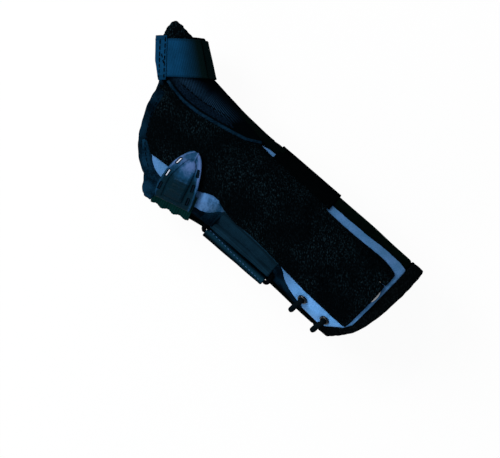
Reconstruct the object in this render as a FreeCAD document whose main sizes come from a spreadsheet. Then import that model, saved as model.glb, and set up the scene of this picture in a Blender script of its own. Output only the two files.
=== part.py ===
"""Wrist and thumb splint for a right hand, laid on its back with the palm side up.

Frame: +X runs towards the fingers, +Y towards the little finger side, +Z out of the palm.
Z = 0 is the table that the back of the splint rests on, and X = Y = 0 is the wrist crease.
Every layer of the splint is the space between two skins, which are the limb's own form
grown by a set thickness, so the layers always meet face to face.
"""
import FreeCAD, Part
import math
import os
from FreeCAD import Placement, Rotation, Vector

doc = FreeCAD.newDocument("WristSplint")
sheet = doc.addObject("Spreadsheet::Sheet", "Sizes")

DRIVING = [
    # layers, counted outwards from the limb
    ("lining_thick", 1.0, "terry lining against the skin"),
    ("panel_thick", 3.0, "foam laminate panels"),
    ("pile_thick", 1.6, "loop pile panel, thinnest"),
    ("binding_proud", 0.4, "edge binding stands this far above a panel"),
    ("strap_thick", 1.3, "webbing"),
    ("hook_thick", 0.6, "hook patch under a strap end"),
    ("layer_gap", 0.3, "gap between pieces that move on each other"),
    # the wearer's forearm and hand, as the splint is worn
    ("palmar_radius", 810, "long bend of the palmar side"),
    ("palmar_top_at", -92, "place along X of the highest point of the palmar side"),
    ("palmar_top", 65.4, "height of that point"),
    ("dorsal_radius", 810, "long arch of the back"),
    ("dorsal_top_at", -12.2, "place along X of the top of the arch"),
    ("dorsal_top", 10.78, "height of the arch at the skin"),
    ("flatness", 0.907, "half depth of the flattened oval over its full half depth"),
    # thumb
    ("thumb_root_x", 48.8, "where the thumb axis starts, along X"),
    ("thumb_root_y", 0.6, "where the thumb axis starts, along Y"),
    ("thumb_root_z", 31.0, "where the thumb axis starts, height"),
    ("thumb_angle", 36.87, "thumb axis away from +X towards -Y, degrees"),
    ("thumb_lift", 6.0, "thumb axis above the table, degrees"),
    ("sleeve_past_strap", 1.5, "thumb sleeve ends this far past its strap"),
    ("tongue_end", 85.0, "tip of the thumb tongue along the thumb axis"),
    ("tongue_side", 2.5, "tip of the tongue stands this far to the palm side of the thumb axis"),
    # outline of the shell
    ("forearm_end", -116.0, "proximal edge at the middle"),
    ("hem_width", 9.5, "black hem at the forearm end"),
    ("binding_width", 5.5, "binding along the palm edge"),
    ("side_height", 30.0, "height that parts the palmar layers from the dorsal ones"),
    ("web_top", 14.0, "the back's panel is cut away between the thumb and the hand up to this height"),
    ("slit_rise", 3.0, "dorsal edge of the ulnar slit above the mid height"),
    ("base_rise", 9.0, "palmar edge of the ulnar slit above the mid height, at least"),
    ("flap_top", 22.0, "top of the slit flap above the mid height"),
    ("tongue_tuck", 9.0, "the slit flap reaches this far under each edge"),
    # stays
    ("stay_width", 18.0, "aluminium stay"),
    ("stay_thick", 1.5, "aluminium stay"),
    ("stay_fit", 0.3, "clearance round a stay in its pocket"),
    ("stay_shows", 1.0, "the palmar stay's end stands this far out of its pocket"),
    ("stay_corner", 3.2, "corner radius of a stay"),
    ("palmar_stay_side", -3.5, "middle of the palmar stay along Y, at the top of its bend"),
    ("palmar_stay_turn", 3.2, "palmar stay in plan away from +X towards +Y, degrees"),
    ("palmar_stay_end", 62.0, "distal end of the palmar stay along X"),
    ("dorsal_stay_start", -104.0, "proximal end of the dorsal stay along X"),
    ("dorsal_stay_end", 58.0, "distal end of the dorsal stay along X"),
    ("thumb_stay_width", 11.0, "thumb stay"),
    ("thumb_stay_thick", 1.2, "thumb stay"),
    ("thumb_stay_start", 30.0, "near end of the thumb stay along the thumb axis"),
    ("thumb_stay_stop", 62.0, "far end of the thumb stay along the thumb axis"),
    ("thumb_stay_rise", 0.4, "cloth between the lining and the thumb stay"),
    ("thumb_stay_play", 0.2, "room under and over the thumb stay in its pocket"),
    ("thumb_tongue_thick", 1.3, "loop fabric tongue over the thumb's tip"),
    # straps
    ("wrist_strap_width", 50.8, "two inch webbing"),
    ("wrist_strap_at", -17.2, "middle of the wrist strap along X"),
    ("wrist_strap_tail", -6.0, "free end of the wrist strap along Y"),
    ("thumb_strap_width", 25.4, "one inch webbing"),
    ("thumb_strap_x", 95.4, "middle of the thumb strap along X"),
    ("thumb_strap_y", -34.9, "middle of the thumb strap along Y"),
    ("thumb_strap_turn", 50.0, "thumb strap's own axis away from +X towards -Y, degrees"),
    ("thumb_strap_hinge", -13.0, "where the loose end starts, across the thumb"),
    ("thumb_strap_reach", 20.5, "where the loose end stops, across the thumb"),
    ("thumb_hem", 8.0, "folded and sewn end of the thumb strap"),
    ("thumb_hem_thick", 0.8, "fold of that end over the strap"),
    ("thumb_hem_proud", 1.9, "that end is wider than the strap by this much on each side"),
    ("thumb_strap_lift", 0.4, "a wrapped thumb strap is this much thicker than flat webbing"),
    ("palm_strap_width", 27.4, "ribbed elastic"),
    ("palm_strap_x", 36.6, "middle of the pull tab's root along X"),
    ("palm_strap_y", 42.2, "middle of the pull tab's root along Y"),
    ("palm_strap_turn", 16.5, "the palm strap crosses the ulnar edge at this angle, degrees"),
    ("palm_strap_sewn", -12.0, "sewn end of the palm strap on the back, along Y"),
    ("wire_radius", 1.1, "ring wire"),
    ("ring_corner", 3.2, "bend radius of the ring wire"),
    ("ring_side_play", 2.4, "middle of the ring wire outside the webbing's edge"),
    ("ring_play", 0.75, "play of the ring's far bar in the strap"),
    ("near_bar_angle", 36.0, "place of the ring's near bar round the wrist, degrees"),
    ("far_bar_angle", 14.0, "place of the ring's far bar round the wrist, degrees"),
    # lacing
    ("eyelet_first", -69.6, "first eyelet along X"),
    ("eyelet_pitch", 20.0, "from eyelet to eyelet"),
    ("eyelet_flange", 3.5, "flange radius"),
    ("eyelet_bore", 1.7, "bore radius"),
    ("eyelet_wall", 0.35, "sheet of the eyelet"),
    ("eyelet_set", 0.45, "depth of the eyelet's barrel in the panel"),
    ("palmar_eyelet_angle", 36.0, "place of the palmar eyelets round the forearm, degrees"),
    ("dorsal_eyelet_angle", -14.0, "place of the dorsal eyelets round the forearm, degrees"),
    ("lace_radius", 1.1, "lace"),
    # pull tab
    ("tab_thick", 3.0, "moulded pull tab"),
    ("tab_recess", 0.8, "depth of the field inside its rim"),
    ("tab_groove", 1.3, "width of the groove round its pillow"),
    ("piping_radius", 1.3, "piping cord in its cover"),
]
for row, (alias, value, note) in enumerate(DRIVING, start=1):
    sheet.set(f"A{row}", note)
    sheet.set(f"B{row}", str(value))
    sheet.setAlias(f"B{row}", alias)

# Stations along the limb: place along X, half width, and middle along Y.
STATIONS = [
    ("open_end", -130, 34.4, 0.2),
    ("forearm_hem", -114, 34.0, 0.2),
    ("forearm", -88, 33.7, 0.2),
    ("mid_forearm", -63, 33.4, 0.2),
    ("above_wrist", -40, 33.0, 0.3),
    ("wrist", 0, 32.8, 1.2),
    ("palm_heel", 30, 35.6, 4.6),
    ("palm", 55, 39.4, 7.0),
    ("knuckles", 80, 40.4, 6.0),
    ("fingers", 112, 39.4, 4.0),
]
# Stations along the thumb: distance along its axis, half width, half depth.
THUMB_STATIONS = [
    ("thumb_inside", -12, 12.0, 11.5),
    ("thumb_root", 18, 12.3, 11.8),
    ("thumb_base", 45, 12.4, 12.0),
    ("thumb_middle", 68, 11.6, 11.4),
    ("thumb_tip", 92, 11.0, 10.8),
]
for row, (name, place, half, middle) in enumerate(STATIONS, start=1):
    for column, part, value in (("D", "at", place), ("E", "half", half), ("F", "mid", middle)):
        sheet.set(f"{column}{row}", str(value))
        sheet.setAlias(f"{column}{row}", f"{name}_{part}")
for row, (name, place, half, depth) in enumerate(THUMB_STATIONS, start=1):
    for column, part, value in (("H", "at", place), ("I", "half", half), ("J", "depth", depth)):
        sheet.set(f"{column}{row}", str(value))
        sheet.setAlias(f"{column}{row}", f"{name}_{part}")
doc.recompute()


def size(alias):
    """A value of the sheet, in millimetres or degrees."""
    return float(sheet.get(alias))


# --- the limb's form, for places worked out in code -----------------------------------

def top_line(x):
    """Height of the palmar side of the skin at x."""
    return size("palmar_top") - (x - size("palmar_top_at")) ** 2 / (2 * size("palmar_radius"))


def bottom_line(x):
    """Height of the dorsal side of the skin at x."""
    return size("dorsal_top") - (x - size("dorsal_top_at")) ** 2 / (2 * size("dorsal_radius"))


def mid_height(x):
    return (top_line(x) + bottom_line(x)) / 2


def half_depth(x):
    """Full half depth of the oval, before it is flattened."""
    return (top_line(x) - bottom_line(x)) / 2 / size("flatness")


def along(part):
    """Curve through a value of the stations, against their place along X."""
    points = [Vector(size(f"{name}_at"), size(f"{name}_{part}"), 0) for name, *_ in STATIONS]
    curve = Part.BSplineCurve()
    curve.interpolate(points)
    return curve


HALF_CURVE = along("half")
MID_CURVE = along("mid")


def read_curve(curve, x):
    cut = Part.Line(Vector(x, -1000, 0), Vector(x, 1000, 0)).toShape(-5000, 5000)
    edge = curve.toShape()
    return edge.distToShape(cut)[1][0][0].y


def half_width(x):
    return read_curve(HALF_CURVE, x)


def middle(x):
    return read_curve(MID_CURVE, x)


FAR = 160.0
PANEL_OUT = size("lining_thick") + size("panel_thick")
GAP = size("layer_gap")


def across(x, share):
    """Plan point at x, at a share of the panels' half width from the middle."""
    return Vector(x, middle(x) + share * (half_width(x) + PANEL_OUT), 0)


def on_skin(x, angle, rise):
    """Point on the oval at x and an angle up from the ulnar side, rise above the panels."""
    turn = math.radians(angle)
    wide = half_width(x) + PANEL_OUT
    deep = half_depth(x) + PANEL_OUT
    foot = Vector(x, middle(x) + wide * math.cos(turn), mid_height(x) + deep * math.sin(turn))
    out = Vector(0, math.cos(turn) / wide, math.sin(turn) / deep).normalize()
    return foot + out * rise


# --- thumb frame -------------------------------------------------------------------

LIFT = math.radians(size("thumb_lift"))
SWING = math.radians(size("thumb_angle"))
THUMB_AXIS = Vector(math.cos(SWING) * math.cos(LIFT), -math.sin(SWING) * math.cos(LIFT), math.sin(LIFT))
THUMB_SIDE = Vector(math.sin(SWING), math.cos(SWING), 0)
THUMB_UP = THUMB_AXIS.cross(THUMB_SIDE)
THUMB_ROOT = Vector(size("thumb_root_x"), size("thumb_root_y"), size("thumb_root_z"))
THUMB_TURN = Rotation(THUMB_SIDE, THUMB_UP, THUMB_AXIS, "ZXY")


def thumb_point(reach, side=0.0, up=0.0):
    """Point at a distance along the thumb axis, to its palm side, and above it."""
    return THUMB_ROOT + THUMB_AXIS * reach + THUMB_SIDE * side + THUMB_UP * up


# --- skins: solids of the limb grown by a thickness -----------------------------------

ACROSS_TURN = Rotation(Vector(1, 1, 1), 120)


def oval(name, place, turn, major, minor):
    """Ellipse whose two radii follow expressions on the sheet."""
    ring = doc.addObject("Part::Ellipse", name)
    ring.Placement = Placement(place, turn)
    ring.setExpression("MajorRadius", major)
    ring.setExpression("MinorRadius", minor)
    return ring


def loft(name, sections):
    skin = doc.addObject("Part::Loft", name)
    skin.Sections = sections
    skin.Solid = True
    skin.Ruled = False
    return skin


def limb_loft(name, grow):
    """Forearm and hand grown by an expression, as one loft through all stations."""
    rings = []
    for station, *_ in STATIONS:
        x = size(f"{station}_at")
        top, low = [
            f"(Sizes.{arc}_top - (Sizes.{station}_at - Sizes.{arc}_top_at)^2 / (2 * Sizes.{arc}_radius))"
            for arc in ("palmar", "dorsal")]
        ring = oval(
            f"{name}_{station}",
            Vector(x, 0, 0),
            ACROSS_TURN,
            f"Sizes.{station}_half + {grow}",
            f"({top} - {low}) / 2 / Sizes.flatness + {grow}",
        )
        ring.setExpression("Placement.Base.x", f"Sizes.{station}_at")
        ring.setExpression("Placement.Base.y", f"Sizes.{station}_mid")
        ring.setExpression("Placement.Base.z", f"({top} + {low}) / 2")
        rings.append(ring)
    return loft(name, rings)


def thumb_loft(name, grow):
    rings = []
    for station, *_ in THUMB_STATIONS:
        rings.append(oval(
            f"{name}_{station}",
            thumb_point(size(f"{station}_at")),
            THUMB_TURN,
            f"Sizes.{station}_half + {grow}",
            f"Sizes.{station}_depth + {grow}",
        ))
    return loft(name, rings)


def boolean(kind, name, base, tool):
    made = doc.addObject(f"Part::{kind}", name)
    made.Base = base
    made.Tool = tool
    made.Refine = False
    return made


def fuse(name, shapes):
    made = doc.addObject("Part::MultiFuse", name)
    made.Shapes = shapes
    made.Refine = False
    return made


def common(name, shapes):
    """What all the shapes share."""
    made = shapes[0]
    for step, shape in enumerate(shapes[1:], start=1):
        last = step == len(shapes) - 1
        made = boolean("Common", name if last else f"{name}_{step}", made, shape)
    return made


def long_arc(at, top, radius, side):
    """Arc of one long side in the plane Y = side, from beyond one end to beyond the other."""
    def point(x):
        return Vector(x, side, top - radius + math.sqrt(radius ** 2 - (x - at) ** 2))
    return Part.Arc(point(-FAR), point(0), point(FAR)).toShape()


def closed_face(edges):
    return Part.Face(Part.Wire(Part.__sortEdges__(edges)))


def long_slab(name, roof_grow, floor_grow, side_low=-100.0, side_high=100.0):
    """Everything between the palmar bend and the dorsal arch, each moved outwards."""
    roof = long_arc(size("palmar_top_at"), size("palmar_top") + roof_grow,
                    size("palmar_radius") + roof_grow, side_low)
    floor = long_arc(size("dorsal_top_at"), size("dorsal_top") - floor_grow,
                     size("dorsal_radius") - floor_grow, side_low)
    ends = [
        Part.LineSegment(roof.Vertexes[i].Point, floor.Vertexes[i].Point).toShape() for i in (0, 1)
    ]
    slab = doc.addObject("Part::Feature", name)
    slab.Shape = closed_face([roof, floor] + ends).extrude(Vector(0, side_high - side_low, 0))
    slab.Placement = Placement()
    return slab


def flattened(name, grow, amount):
    """Limb loft cut flat along the palmar side and along the back."""
    return common(name, [limb_loft(f"{name}_round", grow), long_slab(f"{name}_slab", amount, amount)])


# --- cutters ---------------------------------------------------------------------------

LOW = -40.0
HIGH = 120.0


def run(points, smooth=True):
    """Edge through plan points: a smooth curve, or straight from the first to the last."""
    if not smooth or len(points) == 2:
        return [Part.LineSegment(a, b).toShape() for a, b in zip(points, points[1:])]
    curve = Part.BSplineCurve()
    curve.interpolate(points)
    return [curve.toShape()]


def prism(name, runs, low=LOW, high=HIGH):
    """Upright cutter over a plan outline made of runs that follow each other."""
    edges = []
    for points, smooth in runs:
        if edges:
            last = edges[-1].Vertexes[-1].Point
            if (last - points[0]).Length > 1e-6:
                edges.append(Part.LineSegment(last, points[0]).toShape())
        edges.extend(run(points, smooth))
    first = edges[0].Vertexes[0].Point
    last = edges[-1].Vertexes[-1].Point
    if (first - last).Length > 1e-6:
        edges.append(Part.LineSegment(last, first).toShape())
    face = Part.Face(Part.Wire(edges))
    cutter = doc.addObject("Part::Feature", name)
    cutter.Shape = face.extrude(Vector(0, 0, high - low))
    cutter.Placement = Placement(Vector(0, 0, low), Rotation())
    return cutter


def thumb_block(name, start, end, side_low=-60.0, side_high=60.0, up_low=-60.0, up_high=60.0):
    """Box in the thumb's frame."""
    block = doc.addObject("Part::Box", name)
    block.Length = side_high - side_low
    block.Width = up_high - up_low
    block.Height = end - start
    block.Placement = Placement(thumb_point(start, side_low, up_low), THUMB_TURN)
    return block


def block(name, low, high):
    made = doc.addObject("Part::Box", name)
    made.Length = high[0] - low[0]
    made.Width = high[1] - low[1]
    made.Height = high[2] - low[2]
    made.Placement = Placement(Vector(*low), Rotation())
    return made


END = size("forearm_end")
SIDE = size("side_height")
HEM = size("hem_width")
PILE_START = END + HEM + 2.6

end_curve = [
    Vector(END - 1, -60, 0), Vector(END - 1.3, -33, 0), Vector(END - 0.2, -12, 0),
    Vector(END + 3, 12, 0), Vector(END + 9, 27.5, 0), Vector(END + 15.5, 35.5, 0),
    Vector(END + 17.5, 60, 0),
]
palm_curve = [across(x, share) for x, share in (
    (96.5, -0.33), (95.6, -0.22), (93.6, -0.04), (90.2, 0.145), (82.0, 0.444),
    (74.8, 0.603), (64.9, 0.736), (57, 0.79),
)]
base_ulnar = [across(x, share) for x, share in (
    (57, 0.79), (45, 0.81), (29, 0.83), (8, 0.885), (-20, 0.912), (-66, 0.914), (-86, 0.925),
)]
hem_corner = [across(-86, 0.925), across(-92, 0.895), across(-96.5, 0.80), across(-102, 0.69)]
piping_line = [across(x, share) for x, share in (
    (20, -0.77), (29, -0.648), (40, -0.58), (52, -0.515), (64.5, -0.446),
    (77, -0.407), (89, -0.425), (96.5, -0.33),
)]
piping_end = across(94.1, -0.451)
dorsal_curve = [across(x, share) for x, share in (
    (53.5, 1.2), (55.5, 0.98), (61, 0.76), (71, 0.48), (82, 0.05), (88, -0.3), (89, -0.5),
)]
base_radial = [across(x, share) for x, share in (
    (END + HEM - 1, -0.79), (-88, -0.865), (-64, -0.83), (-42, -0.79),
    (8, -0.82), (16, -0.80), (20, -0.77))]
base_hem = [across(-102, 0.69), Vector(END + HEM + 1, 20.5, 0), across(END + HEM - 1, -0.79)]

trim_main = prism("TrimMain", [
    (end_curve, True),
    ([Vector(FAR, 60, 0), Vector(FAR, across(96.5, -0.32).y, 0)], False),
    ([across(96.5, -0.32), Vector(78, -38, 0), Vector(72, -80, 0)], False),
])


def grown(name, grow, amount):
    """Hand and thumb as one skin, grown by an expression that comes to amount."""
    hand = common(f"{name}_hand", [flattened(f"{name}_limb", grow, amount), trim_main])
    return fuse(name, [hand, thumb_loft(f"{name}_thumb", grow)])


LINING = "Sizes.lining_thick"
PANEL = "(Sizes.lining_thick + Sizes.panel_thick)"
skin = grown("Skin", "0.0", 0.0)
lining_skin = grown("LiningSkin", LINING, size("lining_thick"))
panel_skin = grown("PanelSkin", PANEL, PANEL_OUT)
binding_skin = grown(
    "BindingSkin", f"({PANEL} + Sizes.binding_proud)", PANEL_OUT + size("binding_proud"))
pile_skin = limb_loft("PileSkin", f"{PANEL} + Sizes.pile_thick")

# --- shares of the shell -----------------------------------------------------------

thumb_zone = prism("ThumbZone", [
    (piping_line, True),
    ([Vector(FAR, across(96.5, -0.33).y, 0), Vector(FAR, -110, 0), Vector(12, -110, 0),
      across(13, -1.06)], False),
])

def turned(x_alias, y_alias, turn_alias, flip=1):
    """Plan frame of a strap: its middle, the way it points, and the way across it."""
    turn = math.radians(size(turn_alias))
    ahead = Vector(math.cos(turn), -flip * math.sin(turn), 0)
    side = Vector(flip * math.sin(turn), math.cos(turn), 0)
    return Vector(size(x_alias), size(y_alias), 0), ahead, side


def plan_box(name, frame, ahead_low, ahead_high, side_low, side_high, low=LOW, high=HIGH):
    """Upright cutter over a rectangle in a strap's plan frame."""
    centre, ahead, side = frame
    corners = [centre + ahead * a + side * b for a, b in (
        (ahead_low, side_low), (ahead_high, side_low), (ahead_high, side_high), (ahead_low, side_high))]
    return prism(name, [(corners, False)], low, high)


THUMB_FRAME = turned("thumb_strap_x", "thumb_strap_y", "thumb_strap_turn")
THUMB_HALF = size("thumb_strap_width") / 2
sleeve_room = plan_box(
    "SleeveRoom", THUMB_FRAME, -FAR, THUMB_HALF + size("sleeve_past_strap"), -90.0, 90.0)
palmar_room = block("PalmarRoom", (-FAR, -110, SIDE), (FAR, 110, HIGH))
dorsal_room = block("DorsalRoom", (-FAR, -110, LOW), (FAR, 110, SIDE))
beyond_palm = common("BeyondPalm", [prism("BeyondPalmPlan", [
    (palm_curve, True),
    ([Vector(57, 70, 0), Vector(FAR, 70, 0), Vector(FAR, across(96.5, -0.33).y, 0)], False),
]), palmar_room])
beyond_back = common("BeyondBack", [prism("BeyondBackPlan", [
    (dorsal_curve, True),
    ([Vector(FAR, dorsal_curve[-1].y, 0), Vector(FAR, 70, 0), Vector(53.5, 70, 0)], False),
]), dorsal_room])
beyond = fuse("Beyond", [beyond_palm, beyond_back])


def slit_room(name, low_rise, high_rise, side_low=0.0):
    """Ulnar side between two lines that follow the mid height, for the slit and its flap."""
    places = [-FAR, -85, -40, 0, 30, 55, 80, FAR]
    low = [Vector(x, side_low, mid_height(min(max(x, -120), 100)) + low_rise) for x in places]
    high = [Vector(x, side_low, mid_height(min(max(x, -120), 100)) + high_rise) for x in places]
    edges = run(low) + run(high)
    edges += [Part.LineSegment(low[i], high[i]).toShape() for i in (0, -1)]
    room = doc.addObject("Part::Feature", name)
    room.Shape = closed_face(edges).extrude(Vector(0, 110 - side_low, 0))
    room.Placement = Placement()
    return room


shell = boolean("Cut", "Shell", panel_skin, lining_skin)
main_shell = boolean("Cut", "MainShell", boolean("Cut", "MainShellAll", shell, thumb_zone), beyond)
web_room = block("WebRoom", (dorsal_curve[-1].x, -40, LOW), (FAR, 110, size("web_top")))
thumb_shell = boolean("Cut", "ThumbShell", common("ThumbShellAll", [shell, thumb_zone, sleeve_room]), web_room)

base_plan = prism("BasePlan", [
    (palm_curve, True), (base_ulnar, True), (hem_corner, True), (base_hem, False),
    (base_radial, True), (piping_line, True),
])
hem_plan = prism("HemPlan", [
    ([Vector(END - 20, 80, 0), Vector(-86, 80, 0), across(-86, 0.925)], False),
    (hem_corner, True), (base_hem, False),
    ([Vector(END + HEM - 1, -80, 0), Vector(END - 20, -80, 0)], False),
])
inner_palm_curve = [point + Vector(dx, dy, 0) for point, (dx, dy) in zip(palm_curve, (
    (-7.0, 0.5), (-6.8, 0), (-6.2, -1.0), (-5.2, -2.4), (-4.4, -3.4), (-3.9, -3.9), (-3.2, -4.5),
    (-2.6, -4.9)))]
palm_band = common("PalmBand", [prism("PalmBandPlan", [
    (palm_curve, True), (inner_palm_curve[::-1], True)]), palmar_room])
back_band = common("BackBand", [prism("BackBandPlan", [
    (dorsal_curve, True),
    ([point - Vector(size("binding_width"), 0, 0) for point in dorsal_curve[::-1]], True),
]), dorsal_room])
bands = fuse("Bands", [palm_band, back_band])
base_room = boolean("Cut", "BaseRoom", common("BaseRoomAll", [base_plan, palmar_room]),
                    slit_room("UnderBase", -60.0, size("base_rise")))
slit = slit_room("SlitRoom", size("slit_rise"), 60.0)
ulnar_palm = boolean("Cut", "UlnarPalm", slit, base_room)

unbound = boolean("Cut", "Unbound", main_shell, bands)
base_flat = common("BaseFlat", [unbound, base_room])
hem_all = common("HemAll", [unbound, boolean("Cut", "HemPlanOnly", hem_plan, base_room)])
hem_slit = boolean("Cut", "HemSlit", slit, prism("HemSlitKeep", [
    ([Vector(END - 20, across(-92, 0.97).y, 0), Vector(-60, across(-92, 0.97).y, 0),
      Vector(-60, -80, 0), Vector(END - 20, -80, 0)], False)]))
proximal_hem = boolean("Cut", "ProximalHem", hem_all, hem_slit)
back_all = boolean("Cut", "BackAll", boolean("Cut", "BackRaw", unbound, hem_plan), base_room)
back_flat = boolean("Cut", "BackFlat", back_all, ulnar_palm)

# --- lining, flap and bindings -------------------------------------------------------

flap_room = slit_room("FlapRoom", size("slit_rise") - size("tongue_tuck"), size("flap_top"))
lining_shell = boolean("Cut", "LiningShell", lining_skin, skin)
lining_main = boolean("Cut", "LiningMain", boolean("Cut", "LiningHand", lining_shell, thumb_zone), beyond)
lining_clear = boolean("Cut", "LiningClear", lining_main, bands)
lining_thumb = boolean(
    "Cut", "LiningThumb", common("LiningThumbAll", [lining_shell, thumb_zone, sleeve_room]), web_room)
lining_palm_side = boolean("Cut", "LiningPalmSide", lining_clear, flap_room)
inner_lining = fuse("InnerLining", [lining_palm_side, lining_thumb])
ulnar_flap = common("UlnarFlap", [lining_clear, flap_room])

binding_shell = boolean("Cut", "BindingShell", binding_skin, skin)
binding_main = boolean("Cut", "BindingMain", boolean("Cut", "BindingHand", binding_shell, thumb_zone), beyond)
palm_binding = common("PalmBinding", [binding_main, palm_band])
back_binding = boolean("Cut", "BackBinding", common("BackBindingAll", [binding_main, back_band]), slit)

# --- thumb panels ----------------------------------------------------------------------

seam_down = -3.0
above_seam = thumb_block("AboveSeam", -140.0, 140.0, up_low=seam_down, up_high=90.0)
thumb_mesh = common("ThumbMesh", [thumb_shell, above_seam])
thumb_back_solid = boolean("Cut", "ThumbBackSolid", thumb_shell, above_seam)


def thumb_skin(name, extra):
    """Thumb grown by the panels and an extra thickness."""
    return thumb_loft(name, f"{PANEL} + {extra}")


def thumb_layer(name, low, high):
    """Layer over the thumb between two extra thicknesses, outside the panels."""
    layer = boolean("Cut", f"{name}Layer", thumb_skin(f"{name}High", high), thumb_skin(f"{name}Low", low))
    return boolean("Cut", name, layer, panel_skin)


STAY_LOW = "Sizes.lining_thick + Sizes.thumb_stay_rise"
STAY_HIGH = f"{STAY_LOW} + Sizes.thumb_stay_thick"
thumb_stay_room = boolean(
    "Cut", "ThumbStayRoom",
    thumb_loft("ThumbStayRoomHigh", f"{STAY_HIGH} + Sizes.thumb_stay_play"),
    thumb_loft("ThumbStayRoomLow", f"{STAY_LOW} - Sizes.thumb_stay_play"))
thumb_stay_skin = boolean(
    "Cut", "ThumbStaySkin", thumb_loft("ThumbStayHigh", STAY_HIGH), thumb_loft("ThumbStayLow", STAY_LOW))
THUMB_STAY_HALF = size("thumb_stay_width") / 2
thumb_stay = common("ThumbStay", [thumb_stay_skin, thumb_block(
    "ThumbStayBlock", size("thumb_stay_start"), size("thumb_stay_stop"),
    -THUMB_STAY_HALF, THUMB_STAY_HALF, -60.0, seam_down - 1)])
thumb_pocket = common("ThumbPocket", [thumb_stay_room, thumb_block(
    "ThumbPocketBlock", size("thumb_stay_start") - 0.5, size("thumb_stay_stop") + 0.5,
    -THUMB_STAY_HALF - 0.3, THUMB_STAY_HALF + 0.3, -60.0, seam_down - 1)])
thumb_back = boolean("Cut", "ThumbBack", thumb_back_solid, thumb_pocket)

tongue_layer = thumb_layer("TongueLayer", "0.0", "Sizes.thumb_tongue_thick")


def thumb_plan(reach, side):
    point = thumb_point(reach, side)
    return Vector(point.x, point.y, 0)


TIP = thumb_plan(size("tongue_end"), size("tongue_side"))
tongue_plan = prism("TonguePlan", [
    ([thumb_plan(52, -11), thumb_plan(52, 17), thumb_plan(72, 15)], False),
    ([thumb_plan(72, 15), thumb_plan(77, 11.5), thumb_plan(82, 7.5), TIP, thumb_plan(82.5, -1.5),
      thumb_plan(78.5, -4.2), thumb_plan(74, -6.5), thumb_plan(69, -10.5), thumb_plan(65, -13.5)], True),
], THUMB_ROOT.z, HIGH)

# --- pile panel, stays -------------------------------------------------------------

pile_ulnar = [across(x, share) for x, share in (
    (69.5, 0.455), (56, 0.425), (42, 0.455), (29.3, 0.49), (19.3, 0.425), (10, 0.515), (-17, 0.60),
    (-44.5, 0.635), (-102.5, 0.66))]
pile_radial = [across(x, share) for x, share in (
    (PILE_START, -0.635), (-94, -0.705), (-81, -0.70), (-52, -0.67), (-42, -0.68),
    (8.3, -0.735), (20, -0.77))]
pile_plan = prism("PilePlan", [
    ([palm_curve[0], inner_palm_curve[0]], False), (inner_palm_curve[:5], True),
    (pile_ulnar, True), (pile_radial, True), (piping_line, True),
], SIDE, HIGH)


def in_plan(at, side, turn):
    """Placement of a stay or its pocket: moved sideways and turned about the top of its bend."""
    return Placement(Vector(0, side, 0), Rotation(Vector(0, 0, 1), turn), Vector(at, 0, 0))


def arc_bar(name, at, crown, radius, grow_low, grow_high, start, end, half, side=0.0, turn=0.0):
    """Bar bent along one long side of the limb, between two distances from the skin."""
    def point(x, grow):
        return Vector(x, -half, crown - radius + math.sqrt((radius + grow) ** 2 - (x - at) ** 2))
    mid = (start + end) / 2
    low = Part.Arc(point(start, grow_low), point(mid, grow_low), point(end, grow_low)).toShape()
    high = Part.Arc(point(start, grow_high), point(mid, grow_high), point(end, grow_high)).toShape()
    ends = [Part.LineSegment(low.Vertexes[i].Point, high.Vertexes[i].Point).toShape() for i in (0, 1)]
    bar = doc.addObject("Part::Feature", name)
    bar.Shape = closed_face([low, high] + ends).extrude(Vector(0, 2 * half, 0))
    bar.Placement = in_plan(at, side, turn)
    return bar


def stay(name, at, crown, radius, grow, start, end, side=0.0, turn=0.0):
    """Flat aluminium stay, rolled to the limb's long bend, with rounded corners."""
    body = doc.addObject("PartDesign::Body", name)
    centre_z = size(crown) - size(radius)
    body.Placement = in_plan(size(at), side, turn) * Placement(Vector(size(at), 0, centre_z), Rotation())
    plane = [o for o in body.Origin.OriginFeatures if o.Role == "XZ_Plane"][0]
    sketch = body.newObject("Sketcher::SketchObject", f"{name}Profile")
    sketch.AttachmentSupport = (plane, [""])
    sketch.MapMode = "FlatFace"
    reach = size(radius) + grow
    turn_start = math.pi / 2 - math.asin((start - size(at)) / reach)
    turn_end = math.pi / 2 - math.asin((end - size(at)) / reach)
    thick = size("stay_thick")
    inner = Part.ArcOfCircle(Part.Circle(Vector(), Vector(0, 0, 1), reach), turn_end, turn_start)
    outer = Part.ArcOfCircle(Part.Circle(Vector(), Vector(0, 0, 1), reach + thick), turn_end, turn_start)
    first = sketch.addGeometry(inner)
    sketch.addGeometry(outer)
    sketch.addGeometry(Part.LineSegment(inner.StartPoint, outer.StartPoint))
    sketch.addGeometry(Part.LineSegment(inner.EndPoint, outer.EndPoint))
    pad = body.newObject("PartDesign::Pad", f"{name}Pad")
    pad.Profile = sketch
    pad.setExpression("Length", "Sizes.stay_width")
    pad.Midplane = True
    doc.recompute()
    corners = [f"Edge{i}" for i, edge in enumerate(pad.Shape.Edges, start=1)
               if abs(edge.Length - thick) < 0.01]
    rounded = body.newObject("PartDesign::Fillet", f"{name}Corners")
    rounded.Base = (pad, corners)
    rounded.setExpression("Radius", "Sizes.stay_corner")
    return body


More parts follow.
